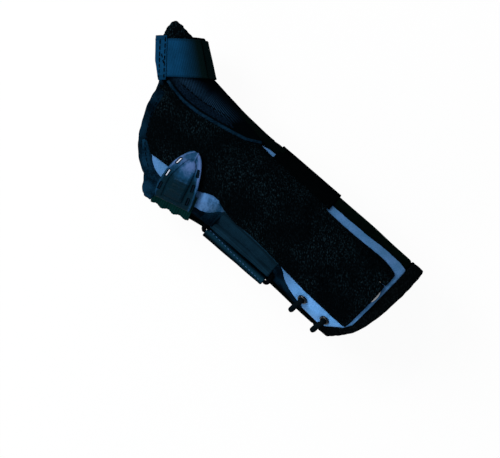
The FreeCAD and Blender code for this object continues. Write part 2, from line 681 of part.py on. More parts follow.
FIT = size("stay_fit")
STAY_HALF = size("stay_width") / 2
STAY_SIDE = size("palmar_stay_side")
STAY_TURN = size("palmar_stay_turn")
STAY_START = PILE_START - size("stay_shows")
palmar_stay = stay("palmar_stay", "palmar_top_at", "palmar_top", "palmar_radius", PANEL_OUT + FIT,
                   STAY_START, size("palmar_stay_end"), STAY_SIDE, STAY_TURN)
palmar_pocket = arc_bar("PalmarPocket", size("palmar_top_at"), size("palmar_top"), size("palmar_radius"),
                        PANEL_OUT - 0.5, PANEL_OUT + size("stay_thick") + 2 * FIT,
                        END - 5, size("palmar_stay_end") + FIT, STAY_HALF + FIT, STAY_SIDE, STAY_TURN)
dorsal_stay = stay("dorsal_stay", "dorsal_top_at", "dorsal_top", "dorsal_radius",
                   -size("lining_thick") - FIT - size("stay_thick"),
                   size("dorsal_stay_start"), size("dorsal_stay_end"))
dorsal_pocket = arc_bar("DorsalPocket", size("dorsal_top_at"), size("dorsal_top"), size("dorsal_radius"),
                        -size("lining_thick") - size("stay_thick") - 2 * FIT, -size("lining_thick"),
                        size("dorsal_stay_start") - FIT, size("dorsal_stay_end") + FIT, STAY_HALF + FIT)
pile_layer = common("PileLayer", [boolean("Cut", "PileShell", pile_skin, panel_skin), pile_plan, palmar_room])
palmar_pile = boolean("Cut", "PalmarPile", pile_layer, palmar_pocket)

# --- wrist strap, ring and its anchor ------------------------------------------------

STRAP = "Sizes.strap_thick"
HALF_STRAP = size("wrist_strap_width") / 2
STRAP_AT = size("wrist_strap_at")
WIRE = size("wire_radius")
EYE_IN = WIRE + 0.3
BAR_RISE = size("strap_thick") + GAP + WIRE
TAIL_LOW = size("strap_thick") + GAP + size("hook_thick")


def strap_skin(name, extra, amount):
    """Flattened limb grown by the panels and an extra thickness."""
    return flattened(name, f"{PANEL} + {extra}", PANEL_OUT + amount)


def wrist_band(name, inset):
    return block(name, (STRAP_AT - HALF_STRAP + inset, -110, LOW), (STRAP_AT + HALF_STRAP - inset, 110, HIGH))


def bar_ends(angle, rise, past):
    """End points of a straight bar along the webbing, at an angle round the wrist."""
    first = on_skin(STRAP_AT - HALF_STRAP, angle, rise)
    last = on_skin(STRAP_AT + HALF_STRAP, angle, rise)
    way = (last - first).normalize()
    return first - way * past, last + way * past


def rod(name, first, last, radius):
    """Round bar between two points, radius bound to an expression."""
    made = doc.addObject("Part::Cylinder", name)
    made.setExpression("Radius", radius)
    made.Height = (last - first).Length
    made.Placement = Placement(first, Rotation(Vector(0, 0, 1), last - first))
    return made


near_first, near_last = bar_ends(size("near_bar_angle"), BAR_RISE, 0.0)
FAR_RISE = size("strap_thick") + GAP + WIRE + 0.3
far_first, far_last = bar_ends(size("far_bar_angle"), FAR_RISE, 0.0)

strap_low = strap_skin("StrapLow", STRAP, size("strap_thick"))
strap_layer = boolean("Cut", "StrapLayer", strap_low, panel_skin)
palm_gap = block("PalmGap", (-FAR, -22.0, (far_first.z + far_last.z) / 2), (FAR, 110, HIGH))
strap_run = boolean("Cut", "StrapRun", boolean(
    "Cut", "StrapRunAll", common("StrapBand", [strap_layer, wrist_band("StrapBandRoom", 0.0)]),
    palm_gap), pile_plan)
far_eye = boolean("Cut", "FarEyeOut", rod("FarEye", far_first, far_last,
                  "Sizes.wire_radius + Sizes.ring_play + Sizes.strap_thick"), panel_skin)
far_bore = rod("FarBore", far_first, far_last, "Sizes.wire_radius + Sizes.ring_play")
wrist_strap = boolean("Cut", "WristStrap", fuse("StrapAndEye", [strap_run, far_eye]), far_bore)

anchor_room = block("AnchorRoom", (-FAR, 5.0, min(near_first.z, near_last.z)), (FAR, 110, HIGH))
anchor_flat = boolean("Cut", "AnchorFlat", common(
    "AnchorBand", [strap_layer, wrist_band("AnchorBandRoom", 0.4), anchor_room]), pile_plan)
near_eye = boolean("Cut", "NearEyeOut", rod("NearEye", near_first, near_last,
                   f"Sizes.wire_radius + {EYE_IN - WIRE} + Sizes.strap_thick"), panel_skin)
near_bore = rod("NearBore", near_first, near_last, f"Sizes.wire_radius + {EYE_IN - WIRE}")
anchor = boolean("Cut", "Anchor", fuse("AnchorAndEye", [anchor_flat, near_eye]), near_bore)

near_first_out, near_last_out = bar_ends(size("near_bar_angle"), BAR_RISE, size("ring_side_play"))
far_first_out, far_last_out = bar_ends(size("far_bar_angle"), FAR_RISE, size("ring_side_play"))


def rounded_path(points, radii):
    """Closed path of straight runs joined by tangent arcs: its runs and its arcs."""
    count = len(points)
    starts = []
    ends = []
    arcs = []
    for i in range(count):
        before, here, after = points[i - 1], points[i], points[(i + 1) % count]
        back = (before - here).normalize()
        ahead = (after - here).normalize()
        inside = back.getAngle(ahead)
        reach = radii[i] / math.tan(inside / 2)
        middle_way = (back + ahead).normalize()
        centre = here + middle_way * (radii[i] / math.sin(inside / 2))
        starts.append(here + back * reach)
        ends.append(here + ahead * reach)
        arcs.append((centre, radii[i], starts[-1], (-back).cross(ahead).normalize(), math.pi - inside))
    runs = [(ends[i], starts[(i + 1) % count]) for i in range(count)]
    return runs, arcs


def path_length(path):
    """Length of a rounded path."""
    runs, arcs = path
    return sum((last - first).Length for first, last in runs) + sum(arc[1] * arc[4] for arc in arcs)


def tube(name, path, radius):
    """Round section along a rounded path, its radius bound to an expression."""
    runs, arcs = path
    pieces = [rod(f"{name}Run{i}", first, last, radius) for i, (first, last) in enumerate(runs)]
    for i, (centre, bend, start, axis, turn) in enumerate(arcs):
        elbow = doc.addObject("Part::Torus", f"{name}Bend{i}")
        elbow.Radius1 = bend
        elbow.setExpression("Radius2", radius)
        elbow.Angle3 = math.degrees(turn)
        outward = (start - centre).normalize()
        elbow.Placement = Placement(centre, Rotation(outward, axis.cross(outward), axis, "ZXY"))
        pieces.append(elbow)
    return fuse(name, pieces)


CORNER = size("ring_corner")
ring_path = rounded_path([near_last_out, far_last_out, far_first_out, near_first_out], [CORNER] * 4)
wrist_ring = tube("WristRing", ring_path, "Sizes.wire_radius")

tail_split = (far_first.z + far_last.z) / 2 - 5.0
tail_low = strap_skin("TailLow", f"{STRAP} + Sizes.layer_gap + Sizes.hook_thick", TAIL_LOW)
tail_high = strap_skin(
    "TailHigh", f"{STRAP} * 2 + Sizes.layer_gap + Sizes.hook_thick", TAIL_LOW + size("strap_thick"))
hook_low = strap_skin("HookLow", f"{STRAP} + Sizes.layer_gap", size("strap_thick") + GAP)
TAIL = size("wrist_strap_tail")
tail_room = block("TailRoom", (STRAP_AT - HALF_STRAP, TAIL, LOW), (STRAP_AT + HALF_STRAP, 110, tail_split))
tail_clear = boolean("Cut", "TailClear", common("TailBand", [
    boolean("Cut", "TailShell", tail_high, tail_low), tail_room]), rod(
        "EyeRoom", far_first, far_last,
        "Sizes.wire_radius + Sizes.ring_play + Sizes.strap_thick + Sizes.layer_gap"))
hook_room = block("HookRoom", (STRAP_AT - HALF_STRAP + 1.5, TAIL + 1.5, LOW),
                  (STRAP_AT + HALF_STRAP - 1.5, TAIL + 30, SIDE - 5))
wrist_hook = common("WristHook", [boolean("Cut", "HookShell", tail_low, hook_low), hook_room])

# --- palm strap and pull tab ---------------------------------------------------------

PALM_FRAME = turned("palm_strap_x", "palm_strap_y", "palm_strap_turn", -1)
PALM_ALONG = PALM_FRAME[1]
PALM_OVER = -PALM_FRAME[2]
PALM_HALF = size("palm_strap_width") / 2
palm_layer = boolean("Cut", "PalmLayer", strap_low, panel_skin)
palm_band_plan = plan_box("PalmBandPlan2", PALM_FRAME, -PALM_HALF, PALM_HALF, -90, 60)
palm_over_top = plan_box("PalmOverTop", PALM_FRAME, -60, 60, -120, -1.0, SIDE, HIGH)
palm_sewn = block("PalmSewn", (-FAR, -110, LOW), (FAR, size("palm_strap_sewn"), SIDE))
palm_strap = boolean("Cut", "PalmStrap", common("PalmStrapBand", [palm_layer, palm_band_plan]),
                     fuse("PalmAway", [palm_over_top, palm_sewn]))


def palm_skin(name, extra):
    """Round limb grown by the panels and an extra thickness, for what lies over the palm."""
    return limb_loft(name, f"{PANEL} + {extra}")


def palm_plan(over, along):
    """Plan point over the palm from the tab's root, and along the ulnar edge."""
    return PALM_FRAME[0] + PALM_OVER * over + PALM_ALONG * along


OVER_PILE = "Sizes.pile_thick + Sizes.layer_gap"
over_low = palm_skin("OverLow", OVER_PILE)
over_mid = palm_skin("OverMid", f"{OVER_PILE} + {STRAP}")
tab_field = palm_skin("TabField", f"{OVER_PILE} + {STRAP} + Sizes.tab_thick - Sizes.tab_recess")
tab_top = palm_skin("TabTop", f"{OVER_PILE} + {STRAP} + Sizes.tab_thick")
tab_bar_top = palm_skin("TabBarTop", f"{OVER_PILE} + {STRAP} + Sizes.tab_thick - 0.1")
over_layer = boolean("Cut", "OverLayer", over_mid, over_low)


def tongue_outline(inset):
    """Outline of the tab: a tongue, widest near its root, drawn in by an inset."""
    distal = [(inset, 14.2 - inset), (8, 14.9 - inset), (14, 14.3 - inset), (21, 13.0 - inset),
              (27.5, 10.6 - inset * 0.95), (33.5, 6.9 - inset * 0.8), (37.6 - inset, 2.2 - inset * 0.15)]
    proximal = [(36.3 - inset * 0.8, -3.2 + inset * 0.4), (30.1, -7.2 + inset * 0.95),
                (24, -9.3 + inset), (17, -11.1 + inset), (9.9, -12.2 + inset), (inset, -12.7 + inset)]
    return [palm_plan(*p) for p in distal + proximal]


tab_plan = prism("TabPlan", [(tongue_outline(0.0), True)], SIDE, HIGH)


def pillow_outline(grow):
    """Outline of the tab's pillow, grown: set back from the rim, and nearer its proximal side."""
    points = [(3.0 - grow, 8.2 + grow), (9, 8.3 + grow), (15.8, 7.9 + grow), (20.5, 6.5 + grow),
              (26.6, 4.1 + grow * 0.9), (31.2 + grow, 0.4 + grow * 0.2), (29.8, -2.8 - grow * 0.8),
              (25.3, -4.4 - grow), (20, -4.9 - grow), (12.2, -4.7 - grow), (3.0 - grow, -4.9 - grow)]
    return [palm_plan(*p) for p in points]


groove_plan = prism("GroovePlan", [(pillow_outline(size("tab_groove")), True)], SIDE, HIGH)
pillow_plan = prism("PillowPlan", [(pillow_outline(0.0), True)], SIDE, HIGH)
tab_low = palm_skin("TabLow", f"{OVER_PILE} + {STRAP} + 0.02")
tab_body = common("TabBody", [boolean("Cut", "TabShell", tab_top, tab_low), tab_plan])
tab_field_cut = common("TabFieldCut", [
    boolean("Cut", "TabFieldShell", tab_top, tab_field),
    boolean("Cut", "TabGroove", groove_plan, pillow_plan)])
tab_grooved = boolean("Cut", "TabGrooved", tab_body, tab_field_cut)
STITCHES = [(7.7, 12.6), (17.5, 11.5), (27.8, 8.3), (5.5, -8.8), (14.8, -8.2), (25.2, -6.9)]
slots = []
threads = []
for number, (over, along) in enumerate(STITCHES):
    spot = palm_plan(over, along)
    lean = math.atan2(PALM_OVER.y, PALM_OVER.x) - math.copysign(0.06 + max(over - 14, 0) * 0.022, along)
    for kind, half_long, half_wide, keep in (("Slot", 2.4, 0.75, slots), ("Thread", 2.4, 0.7, threads)):
        box = doc.addObject("Part::Box", f"Tab{kind}{number}")
        box.Length = 2 * half_long
        box.Width = 2 * half_wide
        box.Height = 120
        turn = Rotation(Vector(0, 0, 1), math.degrees(lean))
        centred = Placement(Vector(-half_long, -half_wide, 0), Rotation())
        box.Placement = Placement(spot + Vector(0, 0, SIDE), turn) * centred
        keep.append(box)
slot_layer = boolean("Cut", "SlotLayer", tab_top, tab_field)
tab_slots = common("TabSlots", [fuse("TabSlotBoxes", slots), slot_layer])
pull_tab = boolean("Cut", "PullTab", tab_grooved, tab_slots)
tab_stitches = common("TabStitches", [
    fuse("TabThreadBoxes", threads), boolean("Cut", "ThreadLayer", tab_bar_top, tab_field)])
strap_end_plan = plan_box("PalmEndPlan", PALM_FRAME, -PALM_HALF, PALM_HALF, -11.0, 0.2, SIDE, HIGH)
palm_strap_end = common("PalmStrapEnd", [over_layer, strap_end_plan])
pad_plan = boolean("Cut", "PadPlan", prism("PadPlanAll", [(tongue_outline(1.2), True)], SIDE, HIGH),
                   plan_box("PadPlanRoot", PALM_FRAME, -60, 60, -11.0, 60))
tab_hook = common("TabHook", [over_layer, pad_plan])

# --- thumb strap -----------------------------------------------------------------------

HINGE = size("thumb_strap_hinge")
REACH = size("thumb_strap_reach")
WRAPPED = f"{STRAP} + Sizes.thumb_strap_lift"
RUN_LOW = f"{WRAPPED} + Sizes.layer_gap"
RUN_HIGH = f"{RUN_LOW} + {STRAP}"
thumb_band = plan_box("ThumbBand", THUMB_FRAME, -THUMB_HALF, THUMB_HALF, -60, 60)
thumb_wrap_layer = boolean(
    "Cut", "ThumbWrapLayer", thumb_skin("ThumbWrapHigh", WRAPPED), panel_skin)
loose_room = thumb_block("LooseRoom", -40, 140, HINGE, 60, 5.0, 60)
beyond_strap = boolean("Cut", "BeyondStrap", trim_main, thumb_block("ThumbOnly", 38, 140))
thumb_strap = boolean("Cut", "ThumbStrap", boolean("Cut", "ThumbStrapRaw", common(
    "ThumbStrapBand", [thumb_wrap_layer, thumb_band]), loose_room), beyond_strap)
run_low = thumb_skin("RunLow", RUN_LOW)
run_high = thumb_skin("RunHigh", RUN_HIGH)
hem_high = thumb_skin("HemHigh", f"{RUN_HIGH} + Sizes.thumb_hem_thick")
run_top = thumb_block("RunTop", -40, 140, HINGE + GAP, 60, 0.5, 60)
thumb_tongue = common("ThumbTongue", [tongue_layer, tongue_plan, loose_room])
run_plan = plan_box("RunPlan", THUMB_FRAME, -THUMB_HALF, THUMB_HALF, -60, REACH)
hook_plan = plan_box("HookPlan", THUMB_FRAME, -THUMB_HALF + 1.5, THUMB_HALF - 1.5,
                     REACH - size("thumb_hem") - 4.0, REACH - 1.5)
hook_high = thumb_skin("HookHigh", f"{RUN_LOW} + Sizes.hook_thick")
thumb_hook = common("ThumbHook", [boolean("Cut", "HookShell", hook_high, run_low), hook_plan, run_top])
thumb_strap_end = boolean("Cut", "ThumbStrapEnd", common("ThumbRun", [
    boolean("Cut", "RunShell", run_high, run_low), run_plan, run_top]), thumb_hook)
HEM_HALF = THUMB_HALF + size("thumb_hem_proud")
thumb_hem_plan = plan_box("ThumbHemPlan", THUMB_FRAME, -HEM_HALF, HEM_HALF,
                          REACH - size("thumb_hem"), REACH)
thumb_hem_all = common("ThumbHemAll", [
    boolean("Cut", "HemShell", hem_high, run_low), thumb_hem_plan, run_top])
thumb_hem = boolean("Cut", "ThumbHem", thumb_hem_all, fuse("RunAndHook", [thumb_strap_end, thumb_hook]))

# --- eyelets and lace ------------------------------------------------------------------

EYELETS_AT = [size("eyelet_first"), size("eyelet_first") - size("eyelet_pitch")]
RIM = (size("eyelet_flange") - size("eyelet_bore")) / 2


def eyelet_parts(name, angle):
    """Eyelets in a row at an angle round the forearm, and the holes they are set in."""
    rims = []
    bores = []
    holes = []
    for number, x in enumerate(EYELETS_AT):
        foot = on_skin(x, angle, -size("eyelet_set"))
        out = (on_skin(x, angle, 1.0) - on_skin(x, angle, 0.0)).normalize()
        turn = Rotation(Vector(0, 0, 1), out)
        rim = doc.addObject("Part::Torus", f"{name}Rim{number}")
        rim.Radius1 = size("eyelet_bore") + RIM
        rim.Radius2 = RIM
        rim.Placement = Placement(on_skin(x, angle, RIM * 0.3), turn)
        proud = boolean("Cut", f"{name}RimProud{number}", rim, panel_skin)
        barrel = rod(f"{name}Barrel{number}", foot, on_skin(x, angle, RIM * 0.6),
                     "Sizes.eyelet_bore + Sizes.eyelet_wall")
        bore = rod(f"{name}Bore{number}", foot - out, on_skin(x, angle, 3.0), "Sizes.eyelet_bore")
        hole = rod(f"{name}Hole{number}", on_skin(x, angle, -size("panel_thick") - 0.5),
                   on_skin(x, angle, 2.0), "Sizes.eyelet_bore + Sizes.eyelet_wall")
        rims.append(fuse(f"{name}Whole{number}", [proud, barrel]))
        bores.append(bore)
        holes.append(hole)
    eyelets = boolean("Cut", name, fuse(f"{name}All", rims), fuse(f"{name}Bores", bores))
    return eyelets, fuse(f"{name}Holes", holes)


PALM_EYE = size("palmar_eyelet_angle")
BACK_EYE = size("dorsal_eyelet_angle")
palmar_eyelets, palmar_holes = eyelet_parts("PalmarEyelets", PALM_EYE)
dorsal_eyelets, dorsal_holes = eyelet_parts("DorsalEyelets", BACK_EYE)

# The lace is one closed loop, its ends joined inside the shell: out of a palmar eyelet,
# over the slit, in at the dorsal eyelet, and along inside to the next pair.
LACE = size("lace_radius")
LACE_TOP = 2 * RIM + LACE + 0.25
LACE_IN = -(LACE + 0.45)
first_x, second_x = EYELETS_AT
lace_points = [
    on_skin(first_x, PALM_EYE, LACE_IN),
    on_skin(first_x, PALM_EYE, LACE_TOP),
    on_skin(first_x + 0.8, PALM_EYE * 0.62, LACE_TOP + 0.3),
    on_skin(first_x + 0.6, PALM_EYE * 0.1, LACE_TOP),
    on_skin(first_x, BACK_EYE, LACE_TOP),
    on_skin(first_x, BACK_EYE, LACE_IN),
    on_skin(second_x, BACK_EYE, LACE_IN),
    on_skin(second_x, BACK_EYE, LACE_TOP),
    on_skin(second_x + 0.9, PALM_EYE * 0.1, LACE_TOP),
    on_skin(second_x + 1.1, PALM_EYE * 0.62, LACE_TOP + 0.4),
    on_skin(second_x, PALM_EYE, LACE_TOP),
    on_skin(second_x, PALM_EYE, LACE_IN),
]
TIGHT = 1.35
lace_radii = [TIGHT, TIGHT, 9.0, 9.0, TIGHT, TIGHT, TIGHT, TIGHT, 9.0, 9.0, TIGHT, TIGHT]
lace_path = rounded_path(lace_points, lace_radii)
lace = tube("Lace", lace_path, "Sizes.lace_radius")
lace_room = tube("LaceRoom", lace_path, "Sizes.lace_radius + 0.1")
base_holed = boolean("Cut", "BaseHoled", boolean("Cut", "BaseHoles", base_flat, palmar_holes), lace_room)
back_holed = boolean("Cut", "BackHoled", boolean("Cut", "BackHoles", back_flat, dorsal_holes), lace_room)
hem_holed = boolean("Cut", "HemHoled", boolean("Cut", "HemHoles", proximal_hem, dorsal_holes), lace_room)
back_panel = boolean("Cut", "BackPanel", back_holed, dorsal_pocket)

# --- piping and seam tape ------------------------------------------------------------

PIPING = size("piping_radius")


def height_over(shape, point):
    """Height of the top of a shape above a plan point."""
    drop = Part.LineSegment(Vector(point.x, point.y, SIDE), Vector(point.x, point.y, HIGH)).toShape()
    return drop.common(shape).BoundBox.ZMax


doc.recompute()
piping_route = []
for point in piping_line[:-1] + [piping_end]:
    aside = point + Vector(0.1, -PIPING - 0.05, 0)
    piping_route.append(Vector(aside.x, aside.y, height_over(panel_skin.Shape, aside) + PIPING * 0.75))
piping_runs = [rod(f"PipingRun{i}", first, last, "Sizes.piping_radius") for i, (first, last) in enumerate(
    zip(piping_route, piping_route[1:]))]
for i, point in enumerate(piping_route[1:-1]):
    ball = doc.addObject("Part::Sphere", f"PipingJoin{i}")
    ball.setExpression("Radius", "Sizes.piping_radius")
    ball.Placement.Base = point
    piping_runs.append(ball)
piping_tube = fuse("PipingTube", piping_runs)
piping_on_panel = boolean("Cut", "PipingOnPanel", piping_tube, panel_skin)
thumb_piping = boolean("Cut", "ThumbPiping", piping_on_panel, palmar_pile)
tape_near = [point + Vector(0.3, -2 * PIPING - 1.2, 0) for point in piping_line[2:7]]
tape_far = [point + Vector(0.3, -2 * PIPING - drop, 0) for point, drop in zip(
    piping_line[2:7], (3.0, 5.2, 6.4, 6.2, 5.0))]
tape_plan = prism("TapePlan", [(tape_near, True), (tape_far[::-1], True)], SIDE, HIGH)
seam_tape = common("SeamTape", [boolean("Cut", "TapeLayer", binding_skin, panel_skin), tape_plan])

# --- finished pieces -----------------------------------------------------------------

NODES = [
    (inner_lining, "inner_lining"), (ulnar_flap, "ulnar_flap"),
    (base_holed, "palmar_base_panel"), (palmar_pile, "palmar_pile_panel"),
    (back_panel, "dorsal_panel"), (hem_holed, "proximal_hem"),
    (palm_binding, "palm_edge_binding"), (back_binding, "dorsal_edge_binding"),
    (thumb_mesh, "thumb_mesh_panel"), (thumb_back, "thumb_back_panel"),
    (thumb_tongue, "thumb_tip_tongue"), (thumb_piping, "thumb_piping"), (seam_tape, "thumb_seam_tape"),
    (palmar_stay, "palmar_stay"), (dorsal_stay, "dorsal_stay"), (thumb_stay, "thumb_stay"),
    (palmar_eyelets, "palmar_eyelets"), (dorsal_eyelets, "dorsal_eyelets"), (lace, "lace"),
    (anchor, "ring_anchor_webbing"), (wrist_ring, "wrist_ring"), (wrist_strap, "wrist_strap"),
    (tail_clear, "wrist_strap_end"), (wrist_hook, "wrist_hook_pad"),
    (palm_strap, "palm_strap"), (palm_strap_end, "palm_strap_end"), (pull_tab, "pull_tab"),
    (tab_stitches, "tab_stitches"), (tab_hook, "tab_hook_pad"),
    (thumb_strap, "thumb_strap"), (thumb_strap_end, "thumb_strap_end"), (thumb_hem, "thumb_strap_hem"),
    (thumb_hook, "thumb_hook_pad"),
]
for piece, label in NODES:
    piece.Label = label
doc.recompute()

faults = [o.Name for o in doc.Objects if "Invalid" in o.State or "Error" in o.State]
faults += [label for piece, label in NODES if piece.Shape.isNull() or not piece.Shape.isValid()]
if faults:
    raise RuntimeError(f"not built: {faults}")

os.makedirs("parts", exist_ok=True)
for piece, label in NODES:
    piece.Shape.exportStep(f"parts/{label}.step")
    print(f"{label}: {len(piece.Shape.Solids)} solid(s), {piece.Shape.Volume:.0f} mm3")
print(f"lace: length {path_length(lace_path):.1f}, bends {min(lace_radii)} to {max(lace_radii)}, "
      f"section x length {path_length(lace_path) * math.pi * LACE ** 2:.0f} mm3")
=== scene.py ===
import bpy
import math
import numpy as np
from mathutils import Matrix, Vector
from mathutils.bvhtree import BVHTree
from mathutils.kdtree import KDTree


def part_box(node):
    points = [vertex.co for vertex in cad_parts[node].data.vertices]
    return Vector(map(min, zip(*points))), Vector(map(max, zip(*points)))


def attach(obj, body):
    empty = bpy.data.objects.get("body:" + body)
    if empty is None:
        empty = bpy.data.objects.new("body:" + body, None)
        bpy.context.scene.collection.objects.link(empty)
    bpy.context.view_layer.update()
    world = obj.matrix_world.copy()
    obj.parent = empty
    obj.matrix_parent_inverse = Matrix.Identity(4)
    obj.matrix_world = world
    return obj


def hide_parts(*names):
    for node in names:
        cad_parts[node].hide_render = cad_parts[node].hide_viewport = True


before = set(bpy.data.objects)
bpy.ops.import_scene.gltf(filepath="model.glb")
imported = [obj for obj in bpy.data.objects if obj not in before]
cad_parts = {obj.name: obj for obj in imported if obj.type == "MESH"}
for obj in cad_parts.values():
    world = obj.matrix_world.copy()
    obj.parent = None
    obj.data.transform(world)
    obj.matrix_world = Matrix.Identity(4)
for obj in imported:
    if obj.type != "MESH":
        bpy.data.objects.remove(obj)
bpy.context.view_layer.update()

scene = bpy.context.scene

# --- Table, lamps and camera ------------------------------------------------------------
# The splint lies on its back on a plain white table, under one large soft lamp beyond the
# fingers, a weak one from the little finger side, and a pale sky. The camera looks straight
# down on the palm side, with the fingers to the upper left.
TURN = math.radians(42.5)
LOOK_AT = (-0.0126, 0.0196, 0.045)
AWAY = 2.2
VIEW_WIDTH = 0.3325

camera_data = bpy.data.cameras.new("camera")
camera_data.sensor_width = 36.0
camera_data.lens = 36.0 * AWAY / VIEW_WIDTH
camera_data.clip_end = 20.0
camera = bpy.data.objects.new("camera", camera_data)
right = Vector((-math.cos(TURN), -math.sin(TURN), 0))
upward = Vector((math.sin(TURN), -math.cos(TURN), 0))
turned = Matrix((right, upward, Vector((0, 0, 1)))).transposed()
camera.matrix_world = Matrix.Translation(Vector(LOOK_AT) + Vector((0, 0, AWAY))) @ turned.to_4x4()
scene.collection.objects.link(camera)
scene.camera = camera
scene.view_settings.view_transform = "Standard"


def lamp(name, place, size, watts, colour):
    """Square soft lamp that faces the middle of the splint."""
    data = bpy.data.lights.new(name, "AREA")
    data.size = size
    data.energy = watts
    data.color = colour
    made = bpy.data.objects.new(name, data)
    made.location = place
    made.rotation_euler = (Vector((-0.01, 0, 0.03)) - Vector(place)).to_track_quat("-Z", "Y").to_euler()
    scene.collection.objects.link(made)


lamp("key_lamp", (0.85, 0.10, 0.95), 0.55, 13.0, (1.0, 0.99, 0.98))
lamp("side_lamp", (0.1, 1.0, 0.6), 0.6, 3.5, (0.95, 0.98, 1.0))
lamp("glint_lamp", (0.55, -0.50, 1.10), 0.16, 2.5, (1.0, 1.0, 1.0))
scene.world = bpy.data.worlds.new("sky")
scene.world.use_nodes = True
scene.world.node_tree.nodes["Background"].inputs["Color"].default_value = (0.93, 0.96, 1.0, 1)
scene.world.node_tree.nodes["Background"].inputs["Strength"].default_value = 0.32


class Field:
    """A shader value that adds, multiplies and compares like a number."""

    def __init__(self, tree, socket):
        self.tree = tree
        self.socket = socket

    def node(self, kind, settings=None, values=None, out=0):
        """Any node: its settings first, then its sockets by name or number."""
        made = self.tree.nodes.new(kind)
        for key, value in (settings or {}).items():
            setattr(made, key, value)
        for key, value in (values or {}).items():
            if isinstance(value, Field):
                self.tree.links.new(value.socket, made.inputs[key])
            elif value is not None:
                made.inputs[key].default_value = value
        return Field(self.tree, made.outputs[out])

    def math(self, operation, *values):
        """A Math node on the given values."""
        return self.node("ShaderNodeMath", {"operation": operation}, dict(enumerate(values)))

    def __add__(self, other):
        return self.math("ADD", self, other)

    def __sub__(self, other):
        return self.math("SUBTRACT", self, other)

    def __rsub__(self, other):
        return self.math("SUBTRACT", other, self)

    def __mul__(self, other):
        return self.math("MULTIPLY", self, other)

    __radd__ = __add__
    __rmul__ = __mul__

    def wave(self, pitch):
        """Smooth ribs from 0 to 1, one per pitch in metres."""
        return self.math("SINE", self * (2 * math.pi / pitch)) * 0.5 + 0.5

    def blend(self, first, last):
        """Mix of two colours by this value."""
        return self.node("ShaderNodeMix", {"data_type": "RGBA"}, {0: self, 6: first, 7: last}, 2)

    def step(self, low, high):
        """0 below low, 1 above high, smooth between."""
        return self.node("ShaderNodeMapRange", {"interpolation_type": "SMOOTHSTEP"},
                         {"Value": self, "From Min": low, "From Max": high})

    def tint(self, first, last):
        """Colour from first to last as the value goes from 0 to 1."""
        return self.node("ShaderNodeMix", {"data_type": "RGBA"},
                         {0: self, 6: (*first, 1), 7: (*last, 1)}, 2)

    def noise(self, grain, detail=3.0, long=(1, 1, 1), turn=0.0):
        """Cloudy value in the object's own space: grain in metres, drawn out by long, turned about Z."""
        here = self.node("ShaderNodeTexCoord", out=3)
        here = here.node("ShaderNodeMapping", {"vector_type": "TEXTURE"}, {
            "Vector": here, "Rotation": (0, 0, turn), "Scale": [grain * stretch for stretch in long]})
        return here.node("ShaderNodeTexNoise", None, {"Vector": here, "Scale": 1.0, "Detail": detail})

    def read(self, attribute):
        """A value stored on the mesh."""
        return self.node("ShaderNodeAttribute", {"attribute_name": attribute}, out=2)


def finish(name, roughness, sheen=0.0, sheen_tint=(1, 1, 1), metallic=0.0, specular=0.5):
    """New material with its surface node, and a field to build its colour and relief from."""
    material = bpy.data.materials.new(name)
    material.use_nodes = True
    tree = material.node_tree
    surface = tree.nodes["Principled BSDF"]
    surface.inputs["Roughness"].default_value = roughness
    surface.inputs["Sheen Weight"].default_value = sheen
    surface.inputs["Sheen Tint"].default_value = (*sheen_tint, 1)
    surface.inputs["Sheen Roughness"].default_value = 0.45
    surface.inputs["Metallic"].default_value = metallic
    surface.inputs["Specular IOR Level"].default_value = specular
    surface.inputs["Specular Tint"].default_value = (0.80, 0.92, 1.0, 1)
    return material, Field(tree, surface.outputs[0]), surface


def dress(made, colour, relief, depth, rough=None):
    """Links a colour, a relief of some depth in metres, and a roughness to a finish."""
    material, field, surface = made
    links = material.node_tree.links
    links.new(colour.socket, surface.inputs["Base Color"])
    if rough is not None:
        links.new(rough.socket, surface.inputs["Roughness"])
    bumped = field.node("ShaderNodeBump", None, {"Height": relief, "Distance": depth, "Strength": 1.0})
    links.new(bumped.socket, surface.inputs["Normal"])
    return material


table_mesh = bpy.data.meshes.new("table")
table_mesh.from_pydata([(-3, -3, 0), (3, -3, 0), (3, 3, 0), (-3, 3, 0)], [], [(0, 1, 2, 3)])
table = bpy.data.objects.new("table", table_mesh)
table.location.z = -0.0004
scene.collection.objects.link(table)
table_finish = finish("table_white", 0.9)
table_tree = table_finish[0].node_tree
table_finish[2].inputs["Base Color"].default_value = (0.86, 0.87, 0.88, 1)
seen = table_finish[1].node("ShaderNodeLightPath")
glow = seen.node("ShaderNodeEmission", None, {"Color": (1, 1, 1, 1), "Strength": 1.0})
lit = seen.node("ShaderNodeMixShader", None, {0: seen * 0.95, 1: table_finish[1], 2: glow})
table_tree.links.new(lit.socket, table_tree.nodes["Material Output"].inputs["Surface"])
table_mesh.materials.append(table_finish[0])

# --- Terry lining and slit flap ---------------------------------------------------------
# Cotton terry against the skin: one layer glued to the back of the panels, and a loose
# flap behind the laced slit. It shows only inside the shell and through the slit.


def solid_copy(node, name):
    """A copy of a CAD solid's mesh, as a new piece that stands for the solid."""
    made = bpy.data.objects.new(name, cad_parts[node].data.copy())
    made.data.materials.clear()
    scene.collection.objects.link(made)
    return made


def settle(piece):
    """Applies a piece's modifiers."""
    depsgraph = bpy.context.evaluated_depsgraph_get()
    mesh = bpy.data.meshes.new_from_object(piece.evaluated_get(depsgraph))
    piece.modifiers.clear()
    old = piece.data
    piece.data = mesh
    bpy.data.meshes.remove(old)


def soften(piece, grain, rounds):
    """Rebuilds a piece as an even fine skin and rounds its edges."""
    remesh = piece.modifiers.new("remesh", "REMESH")
    remesh.mode = "VOXEL"
    remesh.voxel_size = grain
    settle(piece)
    even = piece.modifiers.new("even", "SMOOTH")
    even.factor = 0.5
    even.iterations = rounds
    settle(piece)
    piece.data.polygons.foreach_set("use_smooth", [True] * len(piece.data.polygons))


